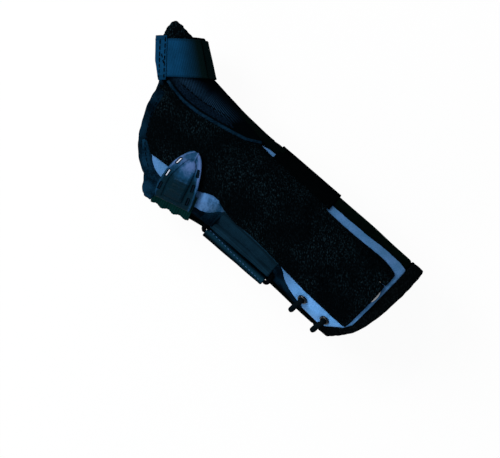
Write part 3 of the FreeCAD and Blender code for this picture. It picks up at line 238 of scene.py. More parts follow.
def place_piece(piece, material, body, slot, *nodes):
    """Gives a piece its material, its body and the CAD nodes it stands for; the slot is not used."""
    piece.data.materials.clear()
    piece.data.materials.append(material)
    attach(piece, body)
    if nodes:
        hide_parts(*nodes)


lining = finish("terry", 0.95, specular=0.0)
loops = lining[1].noise(0.0011, 2.0)
cloudy = lining[1].noise(0.018, 2.0)
shade = (loops * 0.7 + cloudy * 0.3).step(0.3, 0.7)
terry = dress(lining, shade.tint((0.0010, 0.0017, 0.0022), (0.0032, 0.0050, 0.0065)), loops, 0.0006)
for node, name, grain in (("inner_lining", "lining_terry", 0.0009), ("ulnar_flap", "slit_flap", 0.0008)):
    layer = solid_copy(node, name)
    soften(layer, grain, rounds=3)
    place_piece(layer, terry, "shell", "lining", node)

# --- Palm side laminate panel -----------------------------------------------------------
# Thin foam between two knitted faces, steel blue and slightly shiny. It shows round the pile
# panel, bulges where the palm strap crosses it, and puckers at the eyelets.


def read_mesh(piece):
    """Vertices and normals of a piece as arrays."""
    count = len(piece.data.vertices)
    places = np.empty(count * 3, np.float32)
    ways = np.empty(count * 3, np.float32)
    piece.data.vertices.foreach_get("co", places)
    piece.data.vertices.foreach_get("normal", ways)
    return places.reshape(-1, 3).astype(float), ways.reshape(-1, 3).astype(float)


def write_mesh(piece, places):
    """Moves the vertices of a piece to new places."""
    piece.data.vertices.foreach_set("co", places.astype(np.float32).ravel())
    piece.data.update()


def store(piece, name, values):
    """Keeps a value for each vertex, for the material to read."""
    kept = piece.data.attributes.new(name, "FLOAT", "POINT")
    kept.data.foreach_set("value", values.astype(np.float32))


def lumps(places, grain, seed):
    """Smooth random value from -1 to 1 at each place, with lumps of the given size."""
    rng = np.random.default_rng(seed)
    total = np.zeros(len(places))
    for _ in range(9):
        way = rng.normal(size=3)
        way /= np.linalg.norm(way)
        size = grain * rng.uniform(0.7, 1.5)
        total += np.sin(places @ way * (2 * math.pi / size) + rng.uniform(0, 6.3))
    return total / 3.5


def close_to(distance, width):
    """1 at no distance, falling smoothly to 0 past the width."""
    return np.exp(-(distance / width) ** 2)


# Plan places, in metres: the palm side eyelets, and the glossy patch with its half lengths.
EYELETS = ((-0.0696, 0.0306), (-0.0896, 0.0307))
PATCH = (0.0190, 0.0275)
PATCH_HALF = (0.0125, 0.0105)
blue = finish("laminate_blue", 0.45, sheen=0.04, sheen_tint=(0.7, 0.85, 1.0), specular=0.12)
knit = blue[1].noise(0.0006, 2.0, (1, 2.2, 1))
patchy = blue[1].noise(0.009, 3.0)
streaks = blue[1].noise(0.0022, 3.0, (1.0, 2.4, 1.0), 0.5)
# The glossy patch has painted highlight and shade in its colour: lavender towards the fingers, deep blue away
# from them. Its lower roughness is real gloss.
gloss_and_painted_highlight = blue[1].read("gloss_and_painted_highlight")
weave = (knit * 0.5 + patchy * 0.5).step(0.32, 0.68)
plain_blue = blue[1].read("slit").blend(weave.tint((0.030, 0.125, 0.270), (0.072, 0.190, 0.420)),
                                        weave.tint((0.060, 0.230, 0.500), (0.130, 0.350, 0.760)))
mottle = blue[1].noise(0.0016, 4.0)
patch_highlight_shade = (streaks * 0.8 + mottle * 0.9 + blue[1].read("painted_lit_side") * 0.8).step(0.70, 1.75).tint(
    (0.0010, 0.030, 0.076), (0.062, 0.172, 0.390))
laminate = dress(blue, gloss_and_painted_highlight.blend(plain_blue, patch_highlight_shade),
                 knit * 0.6 + patchy * 0.6 + streaks * gloss_and_painted_highlight * 1.5, 0.00022,
                 0.45 - gloss_and_painted_highlight * 0.18 + patchy * 0.15)
base = solid_copy("palmar_base_panel", "palm_laminate")
soften(base, 0.0010, rounds=4)
places, ways = read_mesh(base)
from_patch = np.hypot((places[:, 0] - PATCH[0]) / PATCH_HALF[0], (places[:, 1] - PATCH[1]) / PATCH_HALF[1])
bulge = np.exp(-from_patch ** 2 * 1.4)
lift = 0.0003 * lumps(places, 0.022, 3) + 0.0016 * bulge
wrinkles = np.sin(places[:, 0] / 0.0016 + places[:, 1] / 0.004)
lift += 0.0007 * wrinkles * np.exp(-(from_patch - 0.75) ** 2 * 8)
for x, y in EYELETS:
    away = np.hypot(places[:, 0] - x, places[:, 1] - y)
    puckers = np.cos(5 * np.arctan2(places[:, 1] - y, places[:, 0] - x))
    lift -= 0.0006 * close_to(away - 0.002, 0.003)
    lift += 0.00025 * puckers * close_to(away - 0.0055, 0.002)
lift *= np.clip(ways[:, 2] * 1.5, 0, 1)
write_mesh(base, places + ways * lift[:, None])
# The first mask marks the glossy patch; the second is painted light, 1 towards the fingers.
store(base, "gloss_and_painted_highlight", np.clip(1.9 - from_patch, 0, 1))
store(base, "painted_lit_side", np.clip((places[:, 0] - 0.012) / 0.013, 0, 1))
by_slit = np.clip((-0.052 - places[:, 0]) / 0.012, 0, 1) * np.clip((places[:, 1] + 0.004) / 0.012, 0, 1)
store(base, "slit", by_slit)
place_piece(base, laminate, "shell", "laminate", "palmar_base_panel")

# --- Back panel -------------------------------------------------------------------------
# The same foam laminate with a dark knitted face, from the thumb side round the back to the
# slit. A sewn channel down its middle holds the back stay.

# Every panel is sewn to one tapered oval form: where it is measured along X, and the middle
# of its width there.
PLACES = np.array([-130, -114, -88, -63, -40, 0, 30, 55, 80, 112]) / 1000
MIDDLES = np.array([0.2, 0.2, 0.2, 0.2, 0.3, 1.2, 4.6, 7.0, 6.0, 4.0]) / 1000


def mid_line(x):
    """Point on the form's long middle line, half way between its two shallow arches."""
    top = 0.0654 - (x + 0.092) ** 2 / 1.62
    low = 0.01078 - (x + 0.0122) ** 2 / 1.62
    return Vector((x, float(np.interp(x, PLACES, MIDDLES)), (top + low) / 2))


def puff(piece, held, pressure, cap, frames):
    """Blows a sewn pad up between its held lines, and lets no point go further than cap."""
    start, _ = read_mesh(piece)
    group = piece.vertex_groups.new(name="held")
    for share in (1.0, 0.6, 0.3):
        chosen = np.flatnonzero((held >= share - 0.15) & (held < share + 0.25)).tolist()
        if chosen:
            group.add(chosen, share, "REPLACE")
    cloth = piece.modifiers.new("cloth", "CLOTH")
    cloth.settings.quality = 4
    cloth.settings.mass = 0.15
    cloth.settings.tension_stiffness = 25
    cloth.settings.compression_stiffness = 25
    cloth.settings.bending_stiffness = 2.0
    cloth.settings.effector_weights.gravity = 0
    cloth.settings.use_pressure = True
    cloth.settings.uniform_pressure_force = pressure
    cloth.settings.vertex_group_mass = "held"
    cloth.collision_settings.use_collision = False
    cloth.point_cache.frame_start = 1
    cloth.point_cache.frame_end = frames
    for step in range(1, frames + 1):
        scene.frame_set(step)
    settle(piece)
    moved, _ = read_mesh(piece)
    shift = moved - start
    length = np.linalg.norm(shift, axis=1, keepdims=True)
    write_mesh(piece, start + shift * np.minimum(1.0, cap / np.maximum(length, 1e-9)))
    piece.vertex_groups.clear()
    scene.frame_set(1)


cloth_face = finish("back_knit", 0.9, sheen=0.008, sheen_tint=(0.05, 0.8, 0.4), specular=0.0)
fine = cloth_face[1].noise(0.0007, 2.0)
broad = cloth_face[1].noise(0.03, 3.0)
shade = (fine * 0.6 + broad * 0.4).step(0.35, 0.7)
back_cloth = dress(cloth_face, shade.tint((0.0004, 0.0011, 0.0011), (0.0011, 0.0030, 0.0028)), fine, 0.0003)


def facing_in(places, ways):
    """How far each place's normal points to the form's middle line."""
    inward = np.array([mid_line(x) for x in places[:, 0]]) - places
    return (inward * ways).sum(axis=1)


def to_channel(places):
    """Distance of each place from the nearer seam of the back stay's channel."""
    half_channel = 0.0125
    return np.minimum(abs(places[:, 1] - half_channel), abs(places[:, 1] + half_channel))


back = solid_copy("dorsal_panel", "back_panel")
soften(back, 0.0013, rounds=3)
places, ways = read_mesh(back)
held = np.where(places[:, 2] < 0.03, close_to(to_channel(places), 0.0022), 0.0)
held = np.maximum(held, places[:, 0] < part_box("dorsal_panel")[0][0] + 0.002)
held = np.maximum(held, facing_in(places, ways) > 0)
puff(back, held, pressure=5.0, cap=0.0013, frames=12)
finer = back.modifiers.new("finer", "SUBSURF")
finer.levels = 1
settle(back)
places, ways = read_mesh(back)
groove = -0.0007 * close_to(to_channel(places), 0.0012) * (ways[:, 2] < -0.5)
slack = (groove + 0.00018 * lumps(places, 0.03, 5)) * (facing_in(places, ways) < 0)
write_mesh(back, places + ways * slack[:, None])
back.data.polygons.foreach_set("use_smooth", [True] * len(back.data.polygons))
place_piece(back, back_cloth, "shell", "back_fabric", "dorsal_panel")

# --- Pile panel -------------------------------------------------------------------------
# Brushed loop pile laid over the palm for the strap hooks to grip, sewn down round its edge,
# with the palmar stay in the pocket under it. Its fibres lean towards the palm.


def one_grain(name, roughness, grain, dark, light, depth, detail=2.0, edges=None, specular=0.0):
    """Material of one grain in metres, which both tints it, between edges, and raises it."""
    made = finish(name, roughness, specular=specular)
    grains = made[1].noise(grain, detail)
    shade = grains.step(*edges) if edges else grains
    return dress(made, shade.tint(dark, light), grains, depth)


NAP = TURN - math.pi / 2
pile_made = finish("pile_black", 0.95, specular=0.0)
tufts = pile_made[1].noise(0.0011, 3.0, (2.0, 1.0, 1.0), NAP)
flecks = pile_made[1].noise(0.00075, 3.0, (1.9, 1.0, 1.0), NAP)
worn = pile_made[1].noise(0.030, 2.0)
bright = flecks.step(0.50, 0.76) * (worn.step(0.40, 0.62) * 0.85 + 0.15)
pile = dress(pile_made, bright.tint((0.0006, 0.0012, 0.0017), (0.0100, 0.0250, 0.0340)), tufts, 0.0009)
pale_pile = one_grain("pile_teal", 0.9, 0.004, (0.0008, 0.0030, 0.0045), (0.0100, 0.0280, 0.0400), 0.0001,
                      edges=(0.35, 0.65), specular=0.05)
top = solid_copy("palmar_pile_panel", "pile_panel")
soften(top, 0.0006, rounds=6)
places, ways = read_mesh(top)
upper = np.clip(ways[:, 2] * 2, 0, 1)
# Past the wrist its thumb side edge is drawn in, and so is its corner by the hem.
drawn_in = np.clip((-0.018 - places[:, 1]) / 0.008, 0, 1) * np.clip((-0.0395 - places[:, 0]) / 0.0025, 0, 1)
places[:, 1] += 0.0017 * drawn_in
places[:, 0] += 0.0012 * drawn_in * np.clip((-0.094 - places[:, 0]) / 0.008, 0, 1)
brushed_up = (0.00022 * lumps(places, 0.0035, 11) + 0.00025 * lumps(places, 0.018, 12)
              + 0.00010 * lumps(places, 0.0016, 13))
write_mesh(top, places + ways * (0.00040 + brushed_up * upper)[:, None])
place_piece(top, pile, "shell", "pile", "palmar_pile_panel")


def fibres(name, piece, count, long, lean, material, seed):
    """Short curved hairs standing on a piece's upper skin."""
    rng = np.random.default_rng(seed)
    spots, normals = read_mesh(piece)
    upper_side = np.flatnonzero(normals[:, 2] > 0.2)
    chosen = rng.choice(upper_side, count)
    spots = spots[chosen] + rng.normal(scale=0.0004, size=(count, 3)) * [1, 1, 0]
    normals = normals[chosen]
    tips = normals + np.array(lean) + rng.normal(scale=0.55, size=(count, 3))
    tips /= np.linalg.norm(tips, axis=1, keepdims=True)
    reach = long * rng.uniform(0.5, 1.2, (count, 1))
    side = np.cross(tips, rng.normal(size=(count, 3)))
    side *= 0.00007 / np.linalg.norm(side, axis=1, keepdims=True)
    root = spots - normals * 0.0002
    bend = root + (normals * 0.5 + tips * 0.5) * reach * 0.6
    corners = np.stack([root - side, root + side, bend + side * 0.8, bend - side * 0.8,
                        root + tips * reach], 1)
    mesh = bpy.data.meshes.new(name)
    faces = []
    for i in range(count):
        k = 5 * i
        faces += [(k, k + 1, k + 2, k + 3), (k + 3, k + 2, k + 4)]
    mesh.from_pydata(corners.reshape(-1, 3).tolist(), [], faces)
    made = bpy.data.objects.new(name, mesh)
    scene.collection.objects.link(made)
    place_piece(made, material, "shell", "pile")


fibres("pile_fibres", top, 22000, 0.0010, (0.35, 0.1, 0), pile, seed=21)
fibres("pile_pale_fibres", top, 5200, 0.0010, (0.35, 0.1, 0), pale_pile, seed=23)

# --- Hem and edge bindings --------------------------------------------------------------
# The forearm end is turned over in pile cloth; the palm edges are bound in smooth folded
# tape. Each is sewn through with one row of stitches near its inner edge.

# Half widths of the form at its measured places, and the shell's own thickness.
HALVES = np.array([34.4, 34.0, 33.7, 33.4, 33.0, 32.8, 35.6, 39.4, 40.4, 39.4]) / 1000
OUT = 0.004


def on_form(x, share):
    """Plan point at x millimetres, at a share of the half width."""
    x = x / 1000
    y = np.interp(x, PLACES, MIDDLES) + share * (np.interp(x, PLACES, HALVES) + OUT)
    return Vector((x, y, 0))


def plan_of(x, share):
    """The same plan point, in millimetres."""
    point = on_form(x, share)
    return (point.x * 1000, point.y * 1000)


def smooth_line(points, spacing):
    """Even points along a smooth curve through the given ones."""
    points = [Vector(p) for p in points]
    ends = [points[0] * 2 - points[1]] + points + [points[-1] * 2 - points[-2]]
    dense = []
    for a, b, c, d in zip(ends, ends[1:], ends[2:], ends[3:]):
        for t in np.linspace(0, 1, 24, endpoint=False):
            dense.append(0.5 * (2 * b + (c - a) * t + (2 * a - 5 * b + 4 * c - d) * t ** 2
                                + (3 * b - a - 3 * c + d) * t ** 3))
    dense.append(points[-1])
    lengths = np.cumsum([0] + [(q - p).length for p, q in zip(dense, dense[1:])])
    count = max(2, round(lengths[-1] / spacing))
    flat = np.array(dense)
    even = np.linspace(0, lengths[-1], count + 1)
    return [Vector([np.interp(s, lengths, flat[:, k]) for k in range(3)]) for s in even]


def skin_of(*pieces):
    """Search tree over the skins of some pieces."""
    corners = []
    faces = []
    for piece in pieces:
        start = len(corners)
        corners += [v.co.copy() for v in piece.data.vertices]
        faces += [[start + i for i in f.vertices] for f in piece.data.polygons]
    return BVHTree.FromPolygons(corners, faces)


def swell(piece, out, uneven, grain, seed):
    """Moves a piece's skin outwards, unevenly over lumps of the given size."""
    places, ways = read_mesh(piece)
    write_mesh(piece, places + ways * (out + uneven * lumps(places, grain, seed))[:, None])


def binding(name, patch, low, high, dark, light):
    """Folded tape with a fine weave, shaded in patches of the given size."""
    made = finish(name, 0.8, specular=0.0)
    warp = made[1].noise(0.0008, 2.0)
    shade = (warp * 0.35 + made[1].noise(patch, 2.0) * 0.65).step(low, high)
    return dress(made, shade.tint(dark, light), warp, 0.0002)


hem_cloth = one_grain("hem_cloth", 0.95, 0.0010, (0.0010, 0.0016, 0.0020), (0.0042, 0.0065, 0.0075), 0.0007,
                      detail=3.0, edges=(0.45, 0.75))
hem = solid_copy("proximal_hem", "forearm_hem")
soften(hem, 0.0008, rounds=8)
swell(hem, 0.0001, 0.00015, grain=0.006, seed=31)
place_piece(hem, hem_cloth, "shell", "hem", "proximal_hem")
tape = binding("binding_tape", 0.010, 0.36, 0.66, (0.0004, 0.0020, 0.0040), (0.0020, 0.0115, 0.0245))
corner_tape = binding("corner_tape", 0.009, 0.38, 0.62, (0.0006, 0.0040, 0.0085), (0.0028, 0.0190, 0.0420))
bands = {}
for node, name in (("palm_edge_binding", "palm_binding"), ("dorsal_edge_binding", "back_binding")):
    bands[name] = solid_copy(node, name)
    soften(bands[name], 0.0007, rounds=7)
    swell(bands[name], 0.0004, 0.0002, grain=0.007, seed=33)
    place_piece(bands[name], tape, "shell", "binding", node)
# Rays look straight down from a height above the whole splint.
ABOVE = 0.12
DOWN = Vector((0, 0, -1))


def plan_line(points):
    """Fine plan line through points in millimetres."""
    return smooth_line([Vector((x, y, 0)) / 1000 for x, y in points], 0.0004)


def lay_cloth(name, inner, outer, skin, proud, material, slot, rows=8, even_out=0):
    """Strip of cloth laid on a skin between two plan lines in millimetres, with rounded edges."""
    count = 70
    lines = []
    for line in (inner, outer):
        fine = plan_line(line)
        lines.append([fine[round(i * (len(fine) - 1) / count)] for i in range(count + 1)])
    grid = np.empty((count + 1, rows + 1, 3))
    ways = np.empty((count + 1, rows + 1, 3))
    step = (lines[1][0] - lines[0][0]).length / rows
    for i in range(count + 1):
        for j in range(rows + 1):
            spot = lines[0][i].lerp(lines[1][i], j / rows)
            hit, way, _, _ = skin.ray_cast(Vector((spot.x, spot.y, ABOVE)), DOWN)
            if hit is None and not j:
                near, way, _, _ = skin.find_nearest(Vector((spot.x, spot.y, 0.045)))
                hit = Vector((spot.x, spot.y, near.z))
            if j and (hit is None or hit.z < grid[i, j - 1][2] - 2.5 * step):
                hit = Vector((spot.x, spot.y, grid[i, j - 1][2] - 1.2 * step))
                way = Vector(ways[i, j - 1])
            grid[i, j] = hit
            ways[i, j] = way if way.z > 0 else -way
    for _ in range(even_out):
        grid[1:-1] = (grid[:-2] + grid[1:-1] * 2 + grid[2:]) / 4
        ways[1:-1] = (ways[:-2] + ways[1:-1] * 2 + ways[2:]) / 4
        grid[1:-1, 1:-1] = (grid[1:-1, :-2] + grid[1:-1, 1:-1] * 2 + grid[1:-1, 2:]) / 4
    crown = np.minimum(1.0, 2.4 * np.sin(np.linspace(0, math.pi, rows + 1)))[None, :, None]
    upper = (grid + ways * (proud * crown)).reshape(-1, 3)
    lower = (grid - ways * 0.0007).reshape(-1, 3)
    size = (count + 1) * (rows + 1)
    faces = []
    for i in range(count):
        for j in range(rows):
            a = i * (rows + 1) + j
            b = a + rows + 1
            faces.append((a, a + 1, b + 1, b))
            faces.append((a + size, b + size, b + 1 + size, a + 1 + size))
    rim = list(range(rows + 1))
    rim += [(i + 1) * (rows + 1) + rows for i in range(count)]
    rim += [count * (rows + 1) + j for j in range(rows - 1, -1, -1)]
    rim += [i * (rows + 1) for i in range(count - 1, 0, -1)]
    faces += [(a, a + size, b + size, b) for a, b in zip(rim, rim[1:] + rim[:1])]
    mesh = bpy.data.meshes.new(name)
    mesh.from_pydata(np.concatenate([upper, lower]).tolist(), [], faces)
    made = bpy.data.objects.new(name, mesh)
    scene.collection.objects.link(made)
    soften(made, 0.0004, rounds=6)
    swell(made, 0.00025, 0.00018, grain=0.006, seed=35)
    place_piece(made, material, "shell", slot)
    return made


under_skin = skin_of(base, back, bands["palm_binding"], bands["back_binding"])
slit_palm = [(30, 35.6), (23.9, 33.6), (19.1, 32.6), (14.4, 29.9), (10.6, 25.6), (7.2, 23.0)]
lay_cloth("slit_binding_palm", slit_palm,
          [plan_of(x, share) for (x, _), share in zip(slit_palm, (0.85, 0.86, 0.875, 0.89, 0.9, 0.9))],
          under_skin, proud=0.0007, material=tape, slot="binding")
slit_forearm = [(-41.6, 22.8), (-46.8, 25.4), (-51.2, 28.4), (-57.4, 31.0), (-65.9, 33.2), (-73, 34.2)]
lay_cloth("slit_binding_forearm", slit_forearm, [plan_of(x, 0.925) for x, _ in slit_forearm],
          under_skin, proud=0.0007, material=tape, slot="binding")
palm_corner = lay_cloth(
    "palm_corner_binding",
    [(78.6, 22.6), (75.4, 22.9), (72.1, 24.8), (69.0, 27.2), (65.4, 30.2), (61.8, 32.4), (58.2, 33.7),
     (54.9, 33.9), (50.6, 33.4)],
    [(79.6, 24.0), (77.2, 26.6), (74.8, 29.8), (71.8, 33.6), (68.2, 36.8), (64.0, 40.0), (61.2, 43.6),
     (57.2, 49.2), (49.4, 50.4)],
    under_skin, proud=0.0016, material=corner_tape, slot="binding", rows=14, even_out=2)
fold_edge = [(-40.5, -28.7), (-43.2, -28.7), (-53.1, -28.9), (-62.7, -29.4), (-71.6, -29.7), (-80.2, -30.4),
             (-88.6, -31.0), (-97.8, -31.0), (-108.0, -30.2)]
lay_cloth("back_panel_fold", fold_edge, [plan_of(x, -0.97) for x, _ in fold_edge],
          under_skin, proud=0.0006, material=back_cloth, slot="back_fabric", rows=10, even_out=6)

# --- Thumb sleeve -----------------------------------------------------------------------
# Ribbed spacer mesh on the palm side, plain knit on the back, sewn into a tube along both
# sides. The ribs run along the thumb; the tongue over its tip is pile cloth.
SWING = math.radians(36.87)
LIFT = math.radians(6.0)
thumb_axis = np.array([math.cos(SWING) * math.cos(LIFT), -math.sin(SWING) * math.cos(LIFT), math.sin(LIFT)])
thumb_side = np.array([math.sin(SWING), math.cos(SWING), 0.0])
thumb_up = np.cross(thumb_axis, thumb_side)
thumb_root = np.array([0.0488, 0.0006, 0.031])
RIB = 0.00105
SLEEVE_RADIUS = 0.0165


def thumb_turn(places):
    """Angle of each place round the thumb's axis, from its little finger side up."""
    rel = places - thumb_root
    return np.arctan2(rel @ thumb_up, rel @ thumb_side)


mesh_made = finish("thumb_mesh", 0.9, specular=0.0)
around = mesh_made[1].read("around")
ribs = around.wave(RIB)
net = mesh_made[1].noise(0.0009, 2.0)
# The ribs are painted blue only in the lit zone beside the seam tape, as painted light; elsewhere the mesh is
# painted near black as shade.
lit_side = mesh_made[1].read("side")
rib_colour = (ribs * 0.6 + net * 0.4).step(0.15, 0.85) * lit_side
thumb_net = dress(mesh_made, rib_colour.tint((0.0004, 0.0011, 0.0016), (0.0078, 0.0270, 0.0580)),
                  ribs * lit_side + net * 0.3, 0.00022)
sleeve = solid_copy("thumb_mesh_panel", "thumb_mesh")
soften(sleeve, 0.00048, rounds=8)
places, ways = read_mesh(sleeve)
turn = thumb_turn(places)
rel = places - thumb_root
reach = rel @ thumb_axis
spread = turn * SLEEVE_RADIUS
ridge = 0.00012 * np.cos(2 * math.pi * spread / RIB)
write_mesh(sleeve, places + ways * (ridge + 0.0002 * lumps(places, 0.02, 41))[:, None])
store(sleeve, "around", spread)
# The lit zone for the painted light: up-facing, beside the tape, past the sleeve's foot.
from_tape = (rel @ thumb_side - 0.8 * (reach - 0.0439)) / 1.28
near_foot = np.clip((reach - 0.0115) / 0.010, 0, 1)
store(sleeve, "side", close_to(from_tape - 0.0002, 0.0044) * (ways[:, 2] > 0.1) * near_foot)
place_piece(sleeve, thumb_net, "shell", "thumb_mesh", "thumb_mesh_panel")
under_sleeve = solid_copy("thumb_back_panel", "thumb_back")
soften(under_sleeve, 0.0010, rounds=4)
place_piece(under_sleeve, back_cloth, "shell", "back_fabric", "thumb_back_panel")
tip = solid_copy("thumb_tip_tongue", "thumb_tongue")
soften(tip, 0.0006, rounds=16)
swell(tip, 0.0, 0.0002, grain=0.004, seed=43)
place_piece(tip, pile, "shell", "thumb_mesh", "thumb_tip_tongue")
fibres("tongue_fibres", tip, 1800, 0.0006, (0.35, -0.3, 0), pile, seed=22)
lay_cloth("sleeve_foot_binding",
          [(44, -32.0), (36, -31.4), (29, -30.6), (22, -29.4), (14, -29.4), (5, -30.6)],
          [(44, -34.2), (36, -33.7), (29, -33.7), (22, -34.0), (14, -34.5), (5, -35.2)],
          skin_of(sleeve, under_sleeve, back, base), proud=0.0008, material=back_cloth,
          slot="back_fabric", rows=10, even_out=60)
web = bpy.data.curves.new("thumb_web_binding", "CURVE")
web.dimensions = "3D"
web.resolution_u = 10
web.bevel_depth = 0.0026
web.bevel_resolution = 4
web.use_fill_caps = True
web_line = web.splines.new("NURBS")
web_line.points.add(5)
for point, (x, y, z, size) in zip(web_line.points, (
        (89.5, -2.2, 46.2, 0.5), (92.3, -4.4, 45.4, 0.95), (94.4, -8.0, 44.2, 1.0),
        (95.7, -11.0, 43.0, 0.85), (97.0, -13.2, 42.0, 0.75), (99.4, -15.6, 41.0, 0.7))):
    point.co = (x / 1000, y / 1000, z / 1000, 1)
    point.radius = size
web_line.order_u = 4
web_line.use_endpoint_u = True
web_band = bpy.data.objects.new("thumb_web_binding", web)
scene.collection.objects.link(web_band)
place_piece(web_band, tape, "shell", "binding")

# --- Piping and seam tape ---------------------------------------------------------------
# A covered cord is sewn into the seam between palm and thumb; beside it the seam allowance
# is held flat under a tape with one bold row of stitches.
cord_made = finish("piping_cloth", 0.75, specular=0.0)
bias = cord_made[1].noise(0.0010, 2.0, (2, 1, 1), 0.8) * 0.5 + cord_made[1].noise(0.014, 1.0) * 0.5
piping_cloth = dress(cord_made, bias.step(0.35, 0.7).tint((0.0008, 0.0050, 0.0110), (0.0042, 0.0200, 0.0420)),
                     bias, 0.00025)
tape_cloth = one_grain("seam_tape_cloth", 0.85, 0.0008, (0.0007, 0.0024, 0.0050), (0.0028, 0.0090, 0.0200),
                       0.00025, edges=(0.35, 0.7))
trims = {}
for node, name, grain, cloth in (("thumb_piping", "seam_piping", 0.0004, piping_cloth),
                                 ("thumb_seam_tape", "seam_tape", 0.00025, tape_cloth)):
    trims[name] = solid_copy(node, name)
    soften(trims[name], grain, rounds=12)
    place_piece(trims[name], cloth, "shell", "piping", node)

# --- Webbing straps ---------------------------------------------------------------------
# Nylon webbing, two inch at the wrist and one inch at the thumb, with fine ribs across it
# and thicker selvedges. Loose ends are folded and sewn, with a hook patch under each.
WEFT = 0.0011


def webbing(name, dark, light, off=(0.0016, 0.0062, 0.0066)):
    """Woven finish that reads how far along and how near the edge each point is, and blends to the off colour
    by a stored mask.
    """
    made = finish(name, 0.8, specular=0.0)
    along = made[1].read("along")
    edge = made[1].read("edge")
    weft = along.wave(WEFT)
    yarn = made[1].noise(0.0006, 2.0)
    cloud = made[1].noise(0.010, 3.0)
    mix = weft * 0.2 + yarn * 0.3 + cloud * 0.5
    selvedge = edge.step(0.0016, 0.0010)
    # The stored ridge value paints a highlight on the anchor's fold and a painted shadow in the crease beside
    # it.
    woven = (mix - selvedge * 0.18 + made[1].read("ridge") * 0.45).step(0.25, 0.75).tint(dark, light)
    # The stored mask blends to the off colour: painted shade on the thumb strap's turned-away side, a navy
    # band on the wrist strap.
    colour = made[1].read("painted_shade_and_band").blend(woven, (*off, 1))
    return dress(made, colour, weft * 0.5 + yarn * 0.6 + selvedge * 0.5, 0.00018, 0.65 + yarn * 0.2)


navy = webbing("webbing_navy", (0.0022, 0.0085, 0.0150), (0.0044, 0.0200, 0.0370))
blue_web = webbing("webbing_blue", (0.0018, 0.0190, 0.0470), (0.0032, 0.0400, 0.1050))
# The tail is the navy webbing painted lighter, as painted light on a face that lies in shade.
tail_web_painted_light = webbing("webbing_tail", (0.0020, 0.0240, 0.0500), (0.0044, 0.0560, 0.1150))
BLACK = ((0.0003, 0.0006, 0.0008), (0.0008, 0.0014, 0.0018))
# The thumb strap's long part is painted near black as painted shade; the webbing is the same blue as its end.
shaded_thumb_web = webbing("webbing_thumb_shade", *BLACK)
wrist_web = webbing("webbing_wrist", *BLACK, (0.0045, 0.0280, 0.0500))
WRIST_AT = -0.0172
WRIST_HALF = 0.0254
WRIST_RADIUS = 0.037


def round_wrist(places):
    """Distance along the wrist strap at each place."""
    middles = np.array([mid_line(x) for x in places[:, 0]])
    rel = places - middles
    return np.arctan2(rel[:, 2], rel[:, 1]) * WRIST_RADIUS


def strap(node, name, material, body, along, edge, grain=0.00045):
    """A webbing piece from its solid, with its lengthwise and edge distances."""
    made = solid_copy(node, name)
    soften(made, grain, rounds=4)
    spots, normals = read_mesh(made)
    far = edge(spots)
    raised = 0.00014 * close_to(far - 0.0008, 0.0005)
    write_mesh(made, spots + normals * (raised + 0.00008 * lumps(spots, 0.015, 51))[:, None])
    store(made, "along", along(spots))
    store(made, "edge", far)
    place_piece(made, material, body, "strap", node)
    return made


def wrist_edge(places):
    """Distance of each place from the wrist strap's nearer edge."""
    return WRIST_HALF - abs(places[:, 0] - WRIST_AT)


wrist_strap = strap("wrist_strap", "wrist_webbing", wrist_web, "shell", round_wrist, wrist_edge)
places, ways = read_mesh(wrist_strap)
# A navy band along the wrist strap's upper face near y 39 mm.
store(wrist_strap, "painted_shade_and_band", close_to(places[:, 1] - 0.0394, 0.0019) * (ways[:, 2] > 0))
anchor = strap("ring_anchor_webbing", "ring_anchor", navy, "shell", round_wrist, wrist_edge)
places, ways = read_mesh(anchor)
fold_line = np.interp(places[:, 0], [-0.0438, -0.0294, 0.007], [0.0238, 0.0226, 0.0220])
fold = close_to(places[:, 1] - fold_line, 0.0008) * (ways[:, 2] > 0.2)
crease = close_to(places[:, 1] - fold_line - 0.0017, 0.0006) * (ways[:, 2] > 0.2)
write_mesh(anchor, places + ways * (0.0005 * fold - 0.0003 * crease)[:, None])
# Painted highlight on the fold's ridge, painted shadow in its crease.
store(anchor, "ridge", fold - crease)
tail = strap("wrist_strap_end", "wrist_tail_webbing", tail_web_painted_light, "wrist_tail", round_wrist, wrist_edge)
THUMB_TURN = math.radians(50)
THUMB_HALF = 0.0127
THUMB_RADIUS = 0.018
strap_ahead = np.array([math.cos(THUMB_TURN), -math.sin(THUMB_TURN)])
strap_side = np.array([math.sin(THUMB_TURN), math.cos(THUMB_TURN)])
strap_mid = np.array([0.0954, -0.0349])


def thumb_edge(places):
    """Distance of each place from the thumb strap's nearer edge."""
    return THUMB_HALF - abs((places[:, :2] - strap_mid) @ strap_ahead)


def round_thumb(places):
    """Distance along the thumb strap at each place."""
    return thumb_turn(places) * THUMB_RADIUS


# Its near black colour is painted shade.
thumb_strap = strap("thumb_strap", "thumb_webbing", shaded_thumb_web, "shell", round_thumb, thumb_edge)
thumb_run = strap("thumb_strap_end", "thumb_run_webbing", blue_web, "thumb_tab", round_thumb, thumb_edge)
places, ways = read_mesh(thumb_run)
# The blue end is painted darker, as painted shade, where it turns away round the thumb.
turned_away = (0.004 - (places - thumb_root) @ thumb_side) / 0.0135
store(thumb_run, "painted_shade_and_band", np.clip(turned_away, 0, 1))
places, ways = read_mesh(thumb_strap)
# Part of the near black length gets the same painted shade tone, fading out along the thumb's side direction.
turned_away = (0.03 - (places - thumb_root) @ thumb_side) / 0.02
store(thumb_strap, "painted_shade_and_band", np.clip(turned_away, 0, 1) * (ways[:, 2] > -0.2))
thumb_fold = strap("thumb_strap_hem", "thumb_run_fold", blue_web, "thumb_tab", round_thumb, thumb_edge,
                   grain=0.0003)

